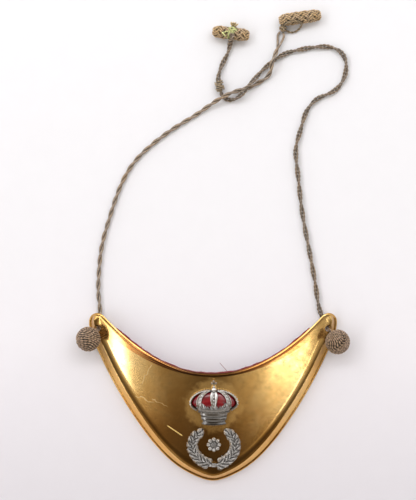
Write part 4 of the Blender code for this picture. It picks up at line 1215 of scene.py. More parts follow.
def circlet_beads(height, width, count, size, proud=0.0, reach=86.0):
    """Pearls round the circlet at one height, flattened onto its half ellipse."""
    angle = np.radians(np.linspace(-reach, reach, count))
    half = width * CROWN_HALF + proud
    y = height * CROWN_HEIGHT - CROWN_BOTTOM - CROWN_BOW * np.cos(angle) ** 2
    z = ARCH_LIFT + CROWN_RATIO * half * np.cos(angle) + proud
    places = np.stack((EMBLEM_X + half * np.sin(angle), y, z), axis=1)
    return repeated(BEAD, places, size)


circlet_trim = [
    circlet_beads(0.392, 0.722, 21, 0.00046),
    circlet_beads(0.181, 0.520, 27, 0.00021),
    circlet_beads(0.285, 0.622, 11, 0.00040, 0.00012),
    circlet_beads(0.285, 0.622, 31, 0.00016, 0.00008),
]
print("circlet", len(circlet["faces"]), "faces")

# %% Crown: arches
ARCH = (
    (0.68, 0.330), (0.86, 0.385), (0.95, 0.460), (0.93, 0.550),
    (0.82, 0.635), (0.63, 0.705), (0.38, 0.750), (0.02, 0.764),
)
ARCH_WIDTH = 0.0029
ARCH_THICKNESS = 0.0008
ARCH_TURNS = (-90.0, -40.0, 0.0, 40.0, 90.0)

arch_curve = smooth_curve([
    (width * CROWN_HALF, height * CROWN_HEIGHT - CROWN_BOTTOM) for width, height in ARCH
])
arch_rows, arch_headings = resample(arch_curve, np.linspace(0.0, travelled(arch_curve)[-1], 48))

# Section of an arch, as shares of its half width and half thickness: two raised rims and a sunk floor
ARCH_SECTION = np.array((
    (-1.0, -1.0), (1.0, -1.0), (1.0, 0.3), (0.93, 0.85), (0.80, 1.05),
    (0.62, 0.85), (0.50, 0.50), (0.3, 0.25), (0.0, 0.20), (-0.3, 0.25),
    (-0.50, 0.50), (-0.62, 0.85), (-0.80, 1.05), (-0.93, 0.85), (-1.0, 0.3),
))


def arch_frame(turn):
    """Middle line, direction across and direction out of the arch at a turn about the crown's axis."""
    half, y = arch_rows.T
    grow, climb = arch_headings.T
    z = ARCH_LIFT + CROWN_RATIO * half * math.cos(turn)
    middle = np.stack((EMBLEM_X + half * math.sin(turn), y, z), axis=1)
    along = np.stack((grow * math.sin(turn), climb, CROWN_RATIO * grow * math.cos(turn)), axis=1)
    across = normalized(np.array((math.cos(turn), 0.0, -CROWN_RATIO * math.sin(turn))))
    return middle, across, normalized(np.cross(across, along))


def arch_width(turn):
    """The front arch is a petal, wide above and narrow at its foot. The others keep nearly one width."""
    share = np.linspace(0.0, 1.0, len(arch_rows))
    if abs(turn) < 0.1:
        return ARCH_WIDTH * (0.52 + 0.90 * np.exp(-((share - 0.45) / 0.27) ** 2) + 0.10 * share)
    return ARCH_WIDTH * (0.85 + 0.30 * np.sin(math.pi * share) - 0.35 * share)


def arch_shape(turn):
    middle, across, out = arch_frame(turn)
    width = arch_width(turn)[:, None, None] / 2.0
    a, b = ARCH_SECTION.T[:, None, :, None]
    points = middle[:, None] + a * width * across + b * ARCH_THICKNESS / 2.0 * out[:, None]
    return grid_shape(points, travelled(middle), np.linspace(0.0, 1.0, len(ARCH_SECTION) + 1))


def arch_studs(turn):
    """Pearls along an arch: a ladder of studs on the front one, larger towards the crown's widest part."""
    middle, _, out = arch_frame(turn)
    way = travelled(middle)
    count = 6 if abs(turn) < 0.1 else 7
    lengths = np.linspace(0.14, 0.84, count) * way[-1]
    places = at_lengths(middle + out * ARCH_THICKNESS * 0.22, way, lengths)
    sizes = np.interp(lengths / way[-1], (0.0, 0.45, 1.0), (0.00036, 0.00056, 0.00042))
    return repeated(BEAD, places, sizes * (1.25 if abs(turn) < 0.1 else 1.0))


def edge_pearls(sign):
    """The row of pearls that stands out along the crown's silhouette."""
    middle, _, out = arch_frame(math.radians(90.0 * sign))
    way = travelled(middle)
    lengths = np.linspace(0.03, 0.90, 14) * way[-1]
    line = middle + out * ARCH_THICKNESS * 0.48 * np.sign(out[:1, :1] * sign)
    sizes = np.interp(lengths / way[-1], (0.0, 1.0), (0.00058, 0.00050))
    return repeated(BEAD, at_lengths(line, way, lengths), sizes)


turns = [math.radians(turn) for turn in ARCH_TURNS]
arches = [arch_shape(turn) for turn in turns] + [arch_studs(turn) for turn in turns[1:4]]
arches += [edge_pearls(-1.0), edge_pearls(1.0)]

# %% Crown: fleurons, orb and cross
def leaf_shape(rows=9, columns=9, ridge=0.30, fullness=0.75):
    """A unit leaf along x: half width sin(pi x^0.85)^f, and over a flat back two swelling halves."""
    u = np.linspace(0.015, 0.985, rows)[:, None]
    v = np.linspace(-1.0, 1.0, columns)[None]
    half = 0.5 * np.sin(math.pi * u ** 0.85) ** fullness + 0.012
    swell = (1.0 - v ** 2) ** 0.6 * (0.65 + 0.35 * np.cos(2.0 * math.pi * (abs(v) - 0.45)))
    front = np.stack((u + 0.0 * v, half * v, ridge * swell * np.sqrt(half * 2.0)), axis=-1)
    v_back = np.linspace(1.0, -1.0, 4)[None, 1:-1]
    back = np.stack((u + 0.0 * v_back, half * v_back, -0.06 + 0.0 * u * v_back), axis=-1)
    points = np.concatenate((front, back), axis=1)
    return grid_shape(points, u[:, 0], np.linspace(0.0, 1.0, points.shape[1] + 1))


LEAF = leaf_shape()


def fleurons():
    """Leaves in pairs at the arches' feet, and a trefoil of pearls between every two arches."""
    shapes = []
    foot = 0.365 * CROWN_HEIGHT - CROWN_BOTTOM
    for turn in (-63.0, -40.0, -20.0, 0.0, 20.0, 40.0, 63.0):
        angle = math.radians(turn)
        half = 0.735 * CROWN_HALF
        middle = np.array((EMBLEM_X + half * math.sin(angle), foot - CROWN_BOW * math.cos(angle) ** 2,
                           ARCH_LIFT + CROWN_RATIO * half * math.cos(angle) + 0.00015))
        narrow = 0.55 + 0.45 * math.cos(angle)
        if turn in (-40.0, 0.0, 40.0):
            for lean in (-1.0, 1.0):
                heading = np.array((lean * 0.80 * narrow, 0.62))
                heading /= np.linalg.norm(heading)
                shapes.append(repeated(LEAF, [middle + (0.0, 0.0002, 0.0)], 0.0025, [heading]))
            shapes.append(repeated(LEAF, [middle + (0.0, 0.0003, 0.0002)], 0.0030, [(0.0, 1.0)]))
        else:
            aside = 0.00052 * narrow
            trefoil = np.array(((0.0, 0.0013, 0.0), (-aside, 0.00066, 0.0), (aside, 0.00066, 0.0)))
            shapes.append(repeated(BEAD, middle + trefoil, (0.00042, 0.00036, 0.00036)))
    return shapes


def turned_shape(profile, middle, axis="y", columns=24):
    """A profile turned round an upright axis: rows of height and radius, about the given middle."""
    profile = np.asarray(profile, float)
    height, radius = profile[:, 0:1], profile[:, 1:2]
    angle = np.linspace(0.0, 2.0 * math.pi, columns, endpoint=False)[None]
    one, other = radius * np.cos(angle), radius * np.sin(angle)
    height = height + 0.0 * one
    order = {"x": (height, one, other), "y": (one, height, other), "z": (one, other, height)}
    points = np.stack(order[axis], axis=-1) + np.asarray(middle, float)
    return grid_shape(points, profile[:, 0], np.linspace(0.0, 1.0, columns + 1))


def crown_top():
    """Orb with a band, a small collar, and a cross whose arms widen outwards."""
    orb_y = 0.785 * CROWN_HEIGHT - CROWN_BOTTOM
    orb_z = ARCH_LIFT + 0.75 * ORB_RADIUS
    top = CROWN_HEIGHT - CROWN_BOTTOM
    step = np.radians(np.linspace(-86.0, 86.0, 23))
    ridge = 0.10 * np.exp(-(np.sin(step) / 0.16) ** 2)
    furrows = 0.05 * np.exp(-((abs(np.sin(step)) - 0.30) / 0.08) ** 2)
    profile = np.stack((ORB_RADIUS * np.sin(step), ORB_RADIUS * np.cos(step) * (1.0 + ridge - furrows)), axis=1)
    orb = turned_shape(profile, (EMBLEM_X, orb_y, orb_z))
    collar = turned_shape((
        (0.0, 0.0002), (0.0, 0.00062), (0.0002, 0.00074),
        (0.00042, 0.00062), (0.0005, 0.0003), (0.0005, 0.0001),
    ), (EMBLEM_X, orb_y + 0.92 * ORB_RADIUS, orb_z))
    arm_y = (orb_y + ORB_RADIUS + top) / 2.0 + 0.0002
    arms = (
        ((1.0, 0.0), 0.00145), ((-1.0, 0.0), 0.00145),
        ((0.0, 1.0), top - arm_y), ((0.0, -1.0), arm_y - orb_y - 0.0008),
    )
    shapes = [orb, collar]
    for heading, size in arms:
        share = np.linspace(0.0, 1.0, 9)
        half = 0.00030 + 0.00034 * share ** 1.6
        section = np.array(((-1.0, -0.8), (1.0, -0.8), (1.0, 0.5), (0.6, 1.0), (-0.6, 1.0), (-1.0, 0.5)))
        points = np.stack(np.broadcast_arrays(
            share[:, None] * size, half[:, None] * section[None, :, 0], 0.00040 * section[None, :, 1],
        ), axis=-1)
        arm = grid_shape(points, share, np.linspace(0.0, 1.0, 7))
        shapes.append(repeated(arm, [(EMBLEM_X, arm_y, orb_z)], 1.0, [heading]))
    return shapes


crown_shape = seated(join_shapes([circlet, *circlet_trim, *arches, *fleurons(), *crown_top()]))
crown = put_piece("crown_casting", crown_shape, crown_silver, sharp=50.0)
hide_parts("crown_frame")

# %% [markdown]
# ## The crown's enamel
#
# Behind the arches the cap is filled with red enamel: coloured glass, fused onto the silver. It is glossy and
# deep: bright red where light comes back through it, nearly black where it is thick or shaded. The cap is the
# same half round, a little inside the arches.

# %% Enamel
def enamel_finish():
    material, shader = make_finish("red_enamel", (0.30, 0.006, 0.014), 0.10)
    shader.inputs["Coat Weight"].default_value = 0.6
    shader.inputs["Coat Roughness"].default_value = 0.05
    shader.inputs["Specular IOR Level"].default_value = 0.6
    place = object_place(material)
    depth = noise(material, place, 330.0, 3.0, 0.6)
    bubbles = noise(material, place, 2600.0, 2.0, 0.5)
    tone = ramp(material, depth, (
        (0.3, (0.10, 0.002, 0.007)), (0.55, (0.24, 0.005, 0.011)), (0.75, (0.34, 0.014, 0.021)),
    ))
    bubbles = ramp(material, bubbles, ((0.64, 0.0), (0.74, 0.35)))
    tone = mix_colors(material, bubbles, tone, (0.10, 0.002, 0.006))
    connect(material, tone, shader, "Base Color")
    connect(material, bump(material, depth, 0.00005, 0.5), shader, "Normal")
    return material


clear = ARCH_THICKNESS / 2.0 + SEAT_GAP
inner = arch_rows - clear * np.stack((arch_headings[:, 1], -arch_headings[:, 0]), axis=1)
cap_floor = 0.360 * CROWN_HEIGHT - CROWN_BOTTOM
kept = (inner[:, 1] > cap_floor) & (inner[:, 0] > 2.0 * ORB_RADIUS)
first = (float(np.interp(cap_floor, inner[:9, 1], inner[:9, 0])), cap_floor)
cap_rows = np.array([first, *inner[kept].tolist()])
cap_rows = np.column_stack((cap_rows, np.zeros(len(cap_rows))))
cap = put_piece("crown_cap", seated(half_round(cap_rows, ARCH_LIFT - clear)), enamel_finish())
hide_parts("crown_enamel")

# %% [markdown]
# ## Wreath and rosette
#
# Under the crown lies an open laurel wreath with a flower in its middle, cast like the crown. A leaf is one
# formula: its half width follows a sine, and its front is two swelling halves beside a rib. The same leaf is
# laid along both stems, left and right in turn, with a berry here and there, and a ribbon ties the stems.

# %% Wreath
WREATH_TOP = 0.171 * HEIGHT
WREATH_HEIGHT = 0.0226
WREATH_HALF = 0.0238 / 2.0
STEM_RADIUS = 0.0005
SPRIG = ((-0.26, 0.00), (0.22, 0.05), (0.72, 0.20), (1.00, 0.46), (0.94, 0.68), (0.72, 0.82))
LEAVES = 17
LEAF_LENGTH = 0.0046
LEAF_ANGLE = math.radians(34.0)


def turned_headings(headings, angles):
    cos, sin = np.cos(angles), np.sin(angles)
    x, y = headings.T
    return np.stack((x * cos - y * sin, x * sin + y * cos), axis=1)


def sprig_shapes(side):
    bottom = -WREATH_TOP - WREATH_HEIGHT
    curve = smooth_curve([(EMBLEM_X + side * WREATH_HALF * x, bottom + WREATH_HEIGHT * y) for x, y in SPRIG])
    length = travelled(curve)[-1]
    lift = 0.00012 * (1.0 + side) / 2.0
    stem, _ = resample(curve, np.linspace(0.0, length, 90))
    stem = np.column_stack((stem, np.full(90, STEM_RADIUS + lift)))
    shapes = [rod(stem, np.linspace(1.15, 0.75, 90) * STEM_RADIUS, 12)]
    places, headings = resample(curve, length * np.linspace(0.17, 0.94, LEAVES))
    way = np.where(np.arange(LEAVES) % 2, 1.0, -1.0)
    headings = turned_headings(headings, way * LEAF_ANGLE)
    aside = np.stack((-headings[:, 1], headings[:, 0]), axis=1)
    roots = np.column_stack((places + aside * way[:, None] * 0.0002, np.full(LEAVES, 0.00028 + lift)))
    sizes = LEAF_LENGTH * np.linspace(1.0, 0.86, LEAVES)
    shapes.append(repeated(LEAF, roots, sizes, headings))
    tip, heading = resample(curve, np.array((length - STEM_RADIUS,)))
    shapes.append(repeated(LEAF, [(*tip[0], 0.00028 + lift)], LEAF_LENGTH * 0.95, heading))
    berries = places[2::3] + (aside * way[:, None])[2::3] * 0.0016
    shapes.append(repeated(BEAD, np.column_stack((berries, np.full(len(berries), 0.0008))), 0.00052))
    return shapes


def ribbon_tie():
    """A wrapped band where the stems cross: three rounds, drawn as rods over the stems."""
    bottom = -WREATH_TOP - WREATH_HEIGHT
    shapes = []
    for y in (-0.0001, 0.0006, 0.0013):
        angle = np.linspace(0.0, math.pi, 17)
        path = np.stack((
            EMBLEM_X + 0.00125 * np.cos(angle), bottom + y + 0.0 * angle, 0.0003 + 0.00125 * np.sin(angle),
        ), axis=1)
        shapes.append(rod(path, 0.00036, 10, hint=(0.0, 1.0, 0.0)))
    return shapes


wreath_shape = seated(join_shapes([*sprig_shapes(-1.0), *sprig_shapes(1.0), *ribbon_tie()]))
wreath = put_piece("wreath_casting", wreath_shape, wreath_silver, sharp=60.0)
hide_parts("wreath")

# %% Rosette
ROSETTE_RADIUS = 0.0042
ROSETTE_HEIGHT = 0.0017


def rosette_shape():
    """Petals on a disc, over the share rho of the radius R and the angle a.

    The outline is R rho (1 - 0.20 (1 - |cos 4a|) rho^2). The height is a curve over rho, less a furrow between
    every two petals and a thin rib along each petal.
    """
    rho = np.linspace(0.02, 1.0, 34)[:, None]
    angle = np.linspace(0.0, 2.0 * math.pi, 128, endpoint=False)[None]
    sine, cosine = np.sin(4.0 * angle), np.cos(4.0 * angle)
    reach = 1.0 - 0.20 * (1.0 - abs(cosine)) * rho ** 2
    height = np.interp(rho, (0.0, 0.25, 0.34, 0.5, 0.8, 1.0), (0.62, 0.60, 0.34, 0.55, 0.66, 0.30))
    furrow = 0.34 * (1.0 - abs(cosine)) ** 2 * smooth_step((rho - 0.28) / 0.15)
    rib = 0.10 * np.exp(-(sine / 0.14) ** 2) * smooth_step((rho - 0.3) / 0.1) * cosine ** 2
    z = ROSETTE_HEIGHT * np.clip(height - furrow - rib, 0.06, None)
    x, y = (ROSETTE_RADIUS * rho * reach * part for part in (np.cos(angle), np.sin(angle)))
    front = np.stack((x, y, z), axis=-1)
    edge = np.stack((x[-1], y[-1], 0.0 * x[-1]), axis=-1)[None]
    points = np.concatenate((front, edge)) + (EMBLEM_X, -WREATH_TOP - 0.46 * WREATH_HEIGHT, 0.0)
    return grid_shape(points, np.linspace(0.0, ROSETTE_RADIUS, 35), np.linspace(0.0, 0.02, 129))


middle = np.array((EMBLEM_X, -WREATH_TOP - 0.46 * WREATH_HEIGHT, 0.0))
angle = np.linspace(0.0, 2.0 * math.pi, 8, endpoint=False)
seeds = np.stack((0.0009 * np.cos(angle), 0.0009 * np.sin(angle), 0.00108 + 0.0 * angle), axis=1)
seeds = np.concatenate((seeds, [(0.0, 0.0, 0.0012)]))
rosette_parts = [rosette_shape(), repeated(BEAD, middle + seeds, [0.00036] * 8 + [0.00055])]
rosette_seated = seated(join_shapes(rosette_parts))
rosette = put_piece("rosette_casting", rosette_seated, wreath_silver, sharp=60.0)
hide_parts("rosette")

# %% [markdown]
# ## The thread balls
#
# A ball button is a wooden core wound with cord until nothing of the wood shows. The rows don't run straight:
# they swirl over the ball like the ridges of a fingertip. One long cord does it: a spiral from pole to pole on
# a sphere, whose points are then turned about two axes by angles that change over the ball. A turn keeps every
# point on the sphere, so the rows bend but stay on it.

# %% Balls
BALL_RADIUS = 0.0071
BALL_THREAD = {"left": 0.00146, "right": 0.00128}
BALL_ROWS = {"left": 15.5, "right": 17.8}
BALL_OUTWARDS = 0.0052                          # from the hole to the ball's middle
BALL_DOWN = {"left": 0.0058, "right": 0.0074}


def turn_about(points, axis, angle):
    """Turn points about a coordinate axis, each by its own angle."""
    one, other = [index for index in range(3) if index != axis]
    turned = points.copy()
    turned[:, one] = points[:, one] * np.cos(angle) - points[:, other] * np.sin(angle)
    turned[:, other] = points[:, one] * np.sin(angle) + points[:, other] * np.cos(angle)
    return turned


def ball_winding(seed, rows):
    """Spiral on the unit sphere: polar angle t, azimuth 2 pi rows t / pi; then the swirling turns."""
    polar = np.linspace(0.03, math.pi - 0.03, 9000)
    azimuth = 2.0 * rows * polar
    unit = np.stack((np.sin(polar) * np.cos(azimuth), np.sin(polar) * np.sin(azimuth), np.cos(polar)), axis=1)
    unit = turn_about(unit, 2, 0.55 * np.sin(2.6 * unit[:, 2] + seed))
    unit = turn_about(unit, 0, 0.9 + 0.42 * np.sin(2.3 * unit[:, 0] + 1.7 * seed))
    unit = turn_about(unit, 1, 0.7 + seed + 0.34 * np.sin(2.8 * unit[:, 1] - seed))
    return unit


def ball_shape(side, seed, thread_reach):
    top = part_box("ball_" + side)[1][2]
    sign = 1.0 if side == "right" else -1.0
    middle = np.array((sign * (HOLE[0] + BALL_OUTWARDS), HOLE[1] - BALL_DOWN[side], top - 0.0003 - BALL_RADIUS))
    thread = BALL_THREAD[side]
    path, _ = even_steps(ball_winding(seed, BALL_ROWS[side]) * (BALL_RADIUS - thread / 2.0), 0.00030)
    outward = normalized(path)
    way = travelled(path)
    lumpy = thread * (0.355 + 0.125 * np.sin(2.0 * math.pi * way / 0.0020 + 1.3 * np.sin(way / 0.0031)))
    shapes = [rod(path + middle, lumpy, 9, hint=outward)]
    step = np.radians(np.linspace(-86.0, 86.0, 24))
    core = np.stack((np.sin(step), np.cos(step)), axis=1) * (BALL_RADIUS - thread * 0.80)
    shapes.append(turned_shape(core, middle, "z", 36))
    foot = np.array((sign * HOLE[0], HOLE[1]))
    toward = normalized(middle[:2] - foot)
    aside = np.array((-toward[1], toward[0]))
    for share in (-1.0, 1.0):
        start = foot + toward * 0.0003 + aside * share * 0.00045
        surface = float(field_height(*start))
        knee = start + toward * 0.0005
        inside = middle + (np.array((*start, surface)) - middle) * 0.6
        line = smooth_curve([
            (*start, surface - thread_reach), (*start, surface - 0.0002), (*knee, surface + 0.0009), tuple(inside),
        ])
        line, _ = even_steps(line, 0.0002)
        shapes.append(rod(line, 0.00042, 10, hint=(*aside, 0.0)))
    return join_shapes(shapes)


for side, seed in (("left", 0.4), ("right", 1.9)):
    ball = put_piece("ball_" + side + "_winding", ball_shape(side, seed, 0.0028), ball_finish)
    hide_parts("ball_" + side)

# %% [markdown]
# ## The toggles
#
# The barrel toggles are braided over a core. Cords run slantwise round the barrel in two families, one turning
# left and one right, and go over and under each other. On a barrel of radius R(s) a cord's angle grows evenly
# with s. Its distance from the axis is R(s) + a cos(2 pi n t s) for one family and R(s) - a cos(...) for the
# other, so wherever two cords cross, one is up and the other is down.

# %% Toggles
BRAID_RADIUS = 0.0038         # the braid swells a little over the solid that stands for it
BRAID_PLY = 0.0022            # one turn of the two yarns in a braided cord
TOGGLES = {"left": (0.0101, 0.2049, 0.0206, -7.0), "right": (0.0490, 0.2137, 0.0237, 8.0)}


def toggle_place(side, points):
    """From the toggle's own axis along x to where it lies."""
    x, y, _, turn = TOGGLES[side]
    turned = turn_about(points, 2, np.full(len(points), math.radians(turn)))
    return turned + (x, y, BRAID_RADIUS)


def toggle_shape(side, cords=5, turns=0.95, thickness=0.00105):
    length = TOGGLES[side][2]
    s = np.linspace(-0.985, 0.985, 420)
    waist = np.exp(-(s * length / 2.0 / 0.0016) ** 2) * 0.0007 if side == "left" else 0.0 * s
    barrel = BRAID_RADIUS * (1.0 - s ** 6) ** 0.3 - waist
    shapes = []
    for family, cord, beside in itertools.product((1.0, -1.0), range(cords), (-1.0, 1.0)):
        weave = 0.36 * thickness * family * np.cos(2.0 * math.pi * turns * cords * (s + 1.0) / 2.0)
        radius = barrel - thickness * 0.85 + weave
        base = family * 2.0 * math.pi * turns * (s + 1.0) / 2.0 + 2.0 * math.pi * cord / cords
        angle = base + beside * 0.50 * thickness / np.maximum(radius, 0.0008) * 1.18
        path = np.stack((s * length / 2.0, radius * np.cos(angle), radius * np.sin(angle)), axis=1)
        path, _ = even_steps(path, 0.00028)
        way = travelled(path)
        one, other = turning_frame(path, normalized(path * (0.0, 1.0, 1.0)))
        for half in (0.0, math.pi):
            turn = (family * 2.0 * math.pi * way / BRAID_PLY + half)[:, None]
            strand = path + thickness * 0.24 * (one * np.cos(turn) + other * np.sin(turn))
            shapes.append(rod(toggle_place(side, strand), thickness * 0.30, 6, hint=(0.0, 0.0, 1.0)))
    core = [
        (share * length / 2.0, max(0.0002, BRAID_RADIUS * (1.0 - share ** 6) ** 0.3 - 0.0017))
        for share in np.linspace(-0.9, 0.9, 21)
    ]
    core_shape = turned_shape(core, (0.0, 0.0, 0.0), "x", 24)
    core_shape["points"] = toggle_place(side, core_shape["points"])
    return join_shapes([*shapes, core_shape])


for side in ("left", "right"):
    put_piece("toggle_" + side + "_braid", toggle_shape(side), toggle_finish)
    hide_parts("toggle_" + side)

# %% [markdown]
# ## Knots and lashings
#
# Four small things hold the cords together. A wrapped knot slides on the right cord and sets its length. A
# small round knot ties the left cord to its toggle, and the spare end of a strand leaves it in a loop. Yellow
# green thread was wound round the waist of the left toggle at some later time, with a tangle on top, a loose
# end and a tuft of frayed threads. The right cord ends on top of that toggle.
#
# A winding round a straight axis is a helix: start + axis (s + lean) + r (side cos f + up sin f). A tangle is
# a spline through seeded random places on a flattened ball.

# %% Windings and tangles
def wound(start, end, radius, pitch, thickness, lean=0.0):
    """A yarn wound round the line from start to end. radius turns shares of the line into distances from it."""
    start, end = np.array(start, float), np.array(end, float)
    length = np.linalg.norm(end - start)
    axis = (end - start) / length
    side = np.cross(axis, (0.0, 0.0, 1.0))
    up = np.cross(side, axis)
    share = np.linspace(0.0, 1.0, int(26 * length / pitch))
    angle = 2.0 * math.pi * share * length / pitch
    around = side * np.cos(angle)[:, None] + up * np.sin(angle)[:, None]
    distance = radius(share)
    along = share * length + lean * distance * np.cos(angle + 0.8)
    path = start + axis * along[:, None] + around * distance[:, None]
    return rod(path, thickness, 8, hint=around)


def tangle(middle, radii, count, thickness, seed):
    """A yarn that wanders over a flattened ball."""
    draw = np.random.default_rng(seed)
    unit = draw.normal(size=(count, 3))
    unit /= np.linalg.norm(unit, axis=1)[:, None]
    curve = smooth_curve(middle + unit * radii * draw.uniform(0.7, 1.0, (count, 1)), samples=12)
    path, _ = even_steps(curve, 0.0003)
    return rod(path, thickness, 7, hint=path - middle + (0.00003, 0.00002, 0.00001))


def frayed(root, tips, thickness, seed, spread=0.0004, rise=0.0006):
    """Fine threads that leave one place for several: each a spline by way of a place above the middle."""
    draw = np.random.default_rng(seed)
    shapes = []
    for tip in tips:
        start = np.array(root) + draw.normal(size=3) * spread * (1.0, 1.0, 0.4)
        between = (start + tip) / 2.0 + draw.normal(size=3) * spread + (0.0, 0.0, rise)
        path, _ = even_steps(smooth_curve((start, between, tip), samples=8), 0.0003)
        shapes.append(rod(path, thickness, 6, hint=(0.02, 0.01, 1.0)))
    return join_shapes(shapes)


# %% Slide knot and end knot
KNOT_MIDDLE = np.array((0.0037, 0.1754, 0.0026))
KNOT_AXIS = np.array((-0.0012, 0.0062, 0.0)) / math.hypot(0.0012, 0.0062)
KNOT_LENGTH = 0.0056
KNOT_RADIUS = 0.0026
END_KNOT = np.array((0.0395, 0.2079, 0.0024))

yarn_finish = thread_finish(
    "knot_thread", (0.62, 0.51, 0.35), (0.35, 0.27, 0.17), (0.09, 0.066, 0.04),
    golden=0.10, deep=0.0012, seed=0.9, groove_shade=DEEP_GROOVE_SHADE,
)


def knot_radius(share):
    """Two lumps with a dip between them, rounded off at both ends."""
    ends = np.clip(1.0 - abs(2.0 * share - 1.0) ** 4, 0.05, 1.0) ** 0.35
    return (KNOT_RADIUS - 0.00036 - 0.00085 * np.exp(-((share - 0.52) / 0.11) ** 2)) * ends


knot_start = KNOT_MIDDLE - KNOT_AXIS * KNOT_LENGTH / 2.0
knot_end = KNOT_MIDDLE + KNOT_AXIS * KNOT_LENGTH / 2.0
core_share = np.linspace(0.0, 1.0, 20)
core_line = knot_start + np.outer(core_share, knot_end - knot_start)
knot_core = rod(core_line, np.maximum(knot_radius(core_share) - 0.0004, 0.0003), 20)
windings = wound(knot_start, knot_end, knot_radius, 0.00100, 0.00042, lean=0.28)
band_side = np.cross(KNOT_AXIS, (0.0, 0.0, 1.0))
band_share = np.linspace(0.0, 1.0, 40)[:, None]
band_turn = np.linspace(-0.5, 3.4, 40)[:, None]
band_around = band_side * np.cos(band_turn) + (0.0, 0.0, 1.0) * np.sin(band_turn)
band = KNOT_MIDDLE + KNOT_AXIS * (band_share - 0.5) * 0.0042 + band_around * 0.00222
band_lines = [band + KNOT_AXIS * shift for shift in (-0.0004, 0.0003)]
bands = [rod(line, 0.00036, 8, hint=line - KNOT_MIDDLE) for line in band_lines]
knot_shape = join_shapes([knot_core, windings, *bands])
slide_knot = put_piece("slide_knot_winding", knot_shape, yarn_finish)
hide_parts("slide_knot")

knot_path, _ = even_steps(ball_winding(0.9, 4.6) * 0.00178, 0.0002)
knot_ball = rod(knot_path + END_KNOT, 0.00052, 8, hint=knot_path)
spare_end = smooth_curve(np.array((
    (39.9, 209.4, 3.6), (41.4, 210.5, 6.6), (43.6, 211.2, 7.1), (46.6, 211.4, 7.1), (49.0, 210.7, 6.3),
    (49.5, 208.9, 2.2), (47.3, 206.5, 0.8), (43.8, 205.7, 0.8), (41.0, 206.9, 1.5),
)) * 0.001)
spare_end, _ = even_steps(spare_end, 0.0003)
end_knot_shape = join_shapes([knot_ball, twisted(spare_end, 0.0013, 0.0042)])
end_knot = put_piece("end_knot", end_knot_shape, yarn_finish)
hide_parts("lashing_right")

# %% Lashing of the left toggle
yellow_finish = thread_finish(
    "yellow_thread", (0.90, 0.93, 0.50), (0.78, 0.83, 0.36), (0.46, 0.48, 0.16), windings=1800.0, seed=1.3,
)
tuft_finish = thread_finish(
    "frayed_thread", (0.92, 0.76, 0.42), (0.74, 0.54, 0.24), (0.36, 0.23, 0.09), seed=1.7,
)

x, y, _, turn = TOGGLES["left"]
waist = np.array((x, y, BRAID_RADIUS))
toggle_axis = np.array((math.cos(math.radians(turn)), math.sin(math.radians(turn)), 0.0))
def round_waist(half, radius, pitch, thickness, lean):
    """Yarn round the toggle's waist, for a half length to both sides, at one radius."""
    reach = toggle_axis * half
    return wound(waist - reach, waist + reach, lambda share: radius + 0.0 * share, pitch, thickness, lean)


wraps = round_waist(0.00155, 0.00318, 0.00052, 0.00030, 0.04)
cross_wraps = round_waist(0.0016, 0.00340, 0.00125, 0.00026, -0.16)
blob = np.array((0.0112, 0.2064, 0.0066))
tangles = [tangle(blob, np.array((0.0024, 0.0018, 0.0012)), 15, 0.00028, seed) for seed in (5, 21)]
loose = [
    rod(even_steps(smooth_curve(np.array(way) * 0.001), 0.0003)[0], 0.00030, 7, hint=(0.1, 0.2, 1.0))
    for way in (
        ((5.0, 205.6, 6.6), (5.6, 204.5, 7.8), (6.3, 203.5, 7.7), (6.8, 202.7, 6.9)),
        ((5.5, 205.4, 7.1), (5.9, 204.6, 8.0), (6.6, 203.7, 7.9), (7.2, 203.0, 7.3)),
        ((8.6, 205.4, 7.6), (7.6, 205.8, 7.9), (6.8, 205.2, 8.0), (5.9, 205.3, 7.5)),
    )
]
lashing_shape = join_shapes([wraps, cross_wraps, *tangles, *loose])
lashing = put_piece("toggle_lashing", lashing_shape, yellow_finish)
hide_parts("lashing_left")

draw = np.random.default_rng(8)
tuft_ranges = ((9.8, 13.8), (209.2, 211.7), (2.6, 5.2))
tuft_tips = np.stack([draw.uniform(low, high, 34) for low, high in tuft_ranges], axis=1) * 0.001
tuft_shapes = [frayed((0.0114, 0.2080, 0.0056), tuft_tips, 0.00019, 4, spread=0.0006)]
tuft_shapes.append(tangle(np.array((0.0118, 0.2098, 0.0044)), np.array((0.0017, 0.0010, 0.0012)), 13, 0.00026, 13))
tuft = put_piece("toggle_tuft", join_shapes(tuft_shapes), tuft_finish)

cord_end = smooth_curve(np.array((
    (9.65, 199.5, 1.9), (9.86, 200.1, 4.2), (10.2, 201.2, 7.0), (10.5, 202.9, 8.6), (10.9, 204.7, 8.8),
)) * 0.001)
cord_end, _ = even_steps(cord_end, STEP)
cord_tail_shape = twisted(cord_end, RIGHT_CORD, 0.009, plies=2, ply_pitch=0.0042, sides=8)
cord_tail = put_piece("neck_cord_right_tail", cord_tail_shape, cord_finish)

# %% [markdown]
# ## Light, and what the gorget lies on
#
# What makes brass look like brass is what it reflects, so most of the work here goes into the room. The
# middle of the field looks up past the camera into a dark ceiling and turns brown. The parts that slope left
# and right see bright walls and turn pale gold. The world is therefore painted by direction: one ramp of
# brightness from left to right, one from front to back, and a glow along the horizon for the bevel. One large
# panel behind the toggles adds the soft light that falls on the table, from where the field doesn't see it.

# %% Table, panels and ceiling
def area_light(name, place, target, size, power, color=(1.0, 1.0, 1.0)):
    """A soft panel at a place that faces a target."""
    data = bpy.data.lights.new(name, "AREA")
    data.shape = "RECTANGLE"
    data.size, data.size_y = size
    data.energy = power
    data.color = color
    light = bpy.data.objects.new(name, data)
    direction = np.array(target, float) - np.array(place, float)
    direction /= np.linalg.norm(direction)
    yaw = math.atan2(direction[0], -direction[1])
    light.location = place
    light.rotation_euler = (math.acos(-direction[2]), 0.0, yaw)
    bpy.context.scene.collection.objects.link(light)
    return light


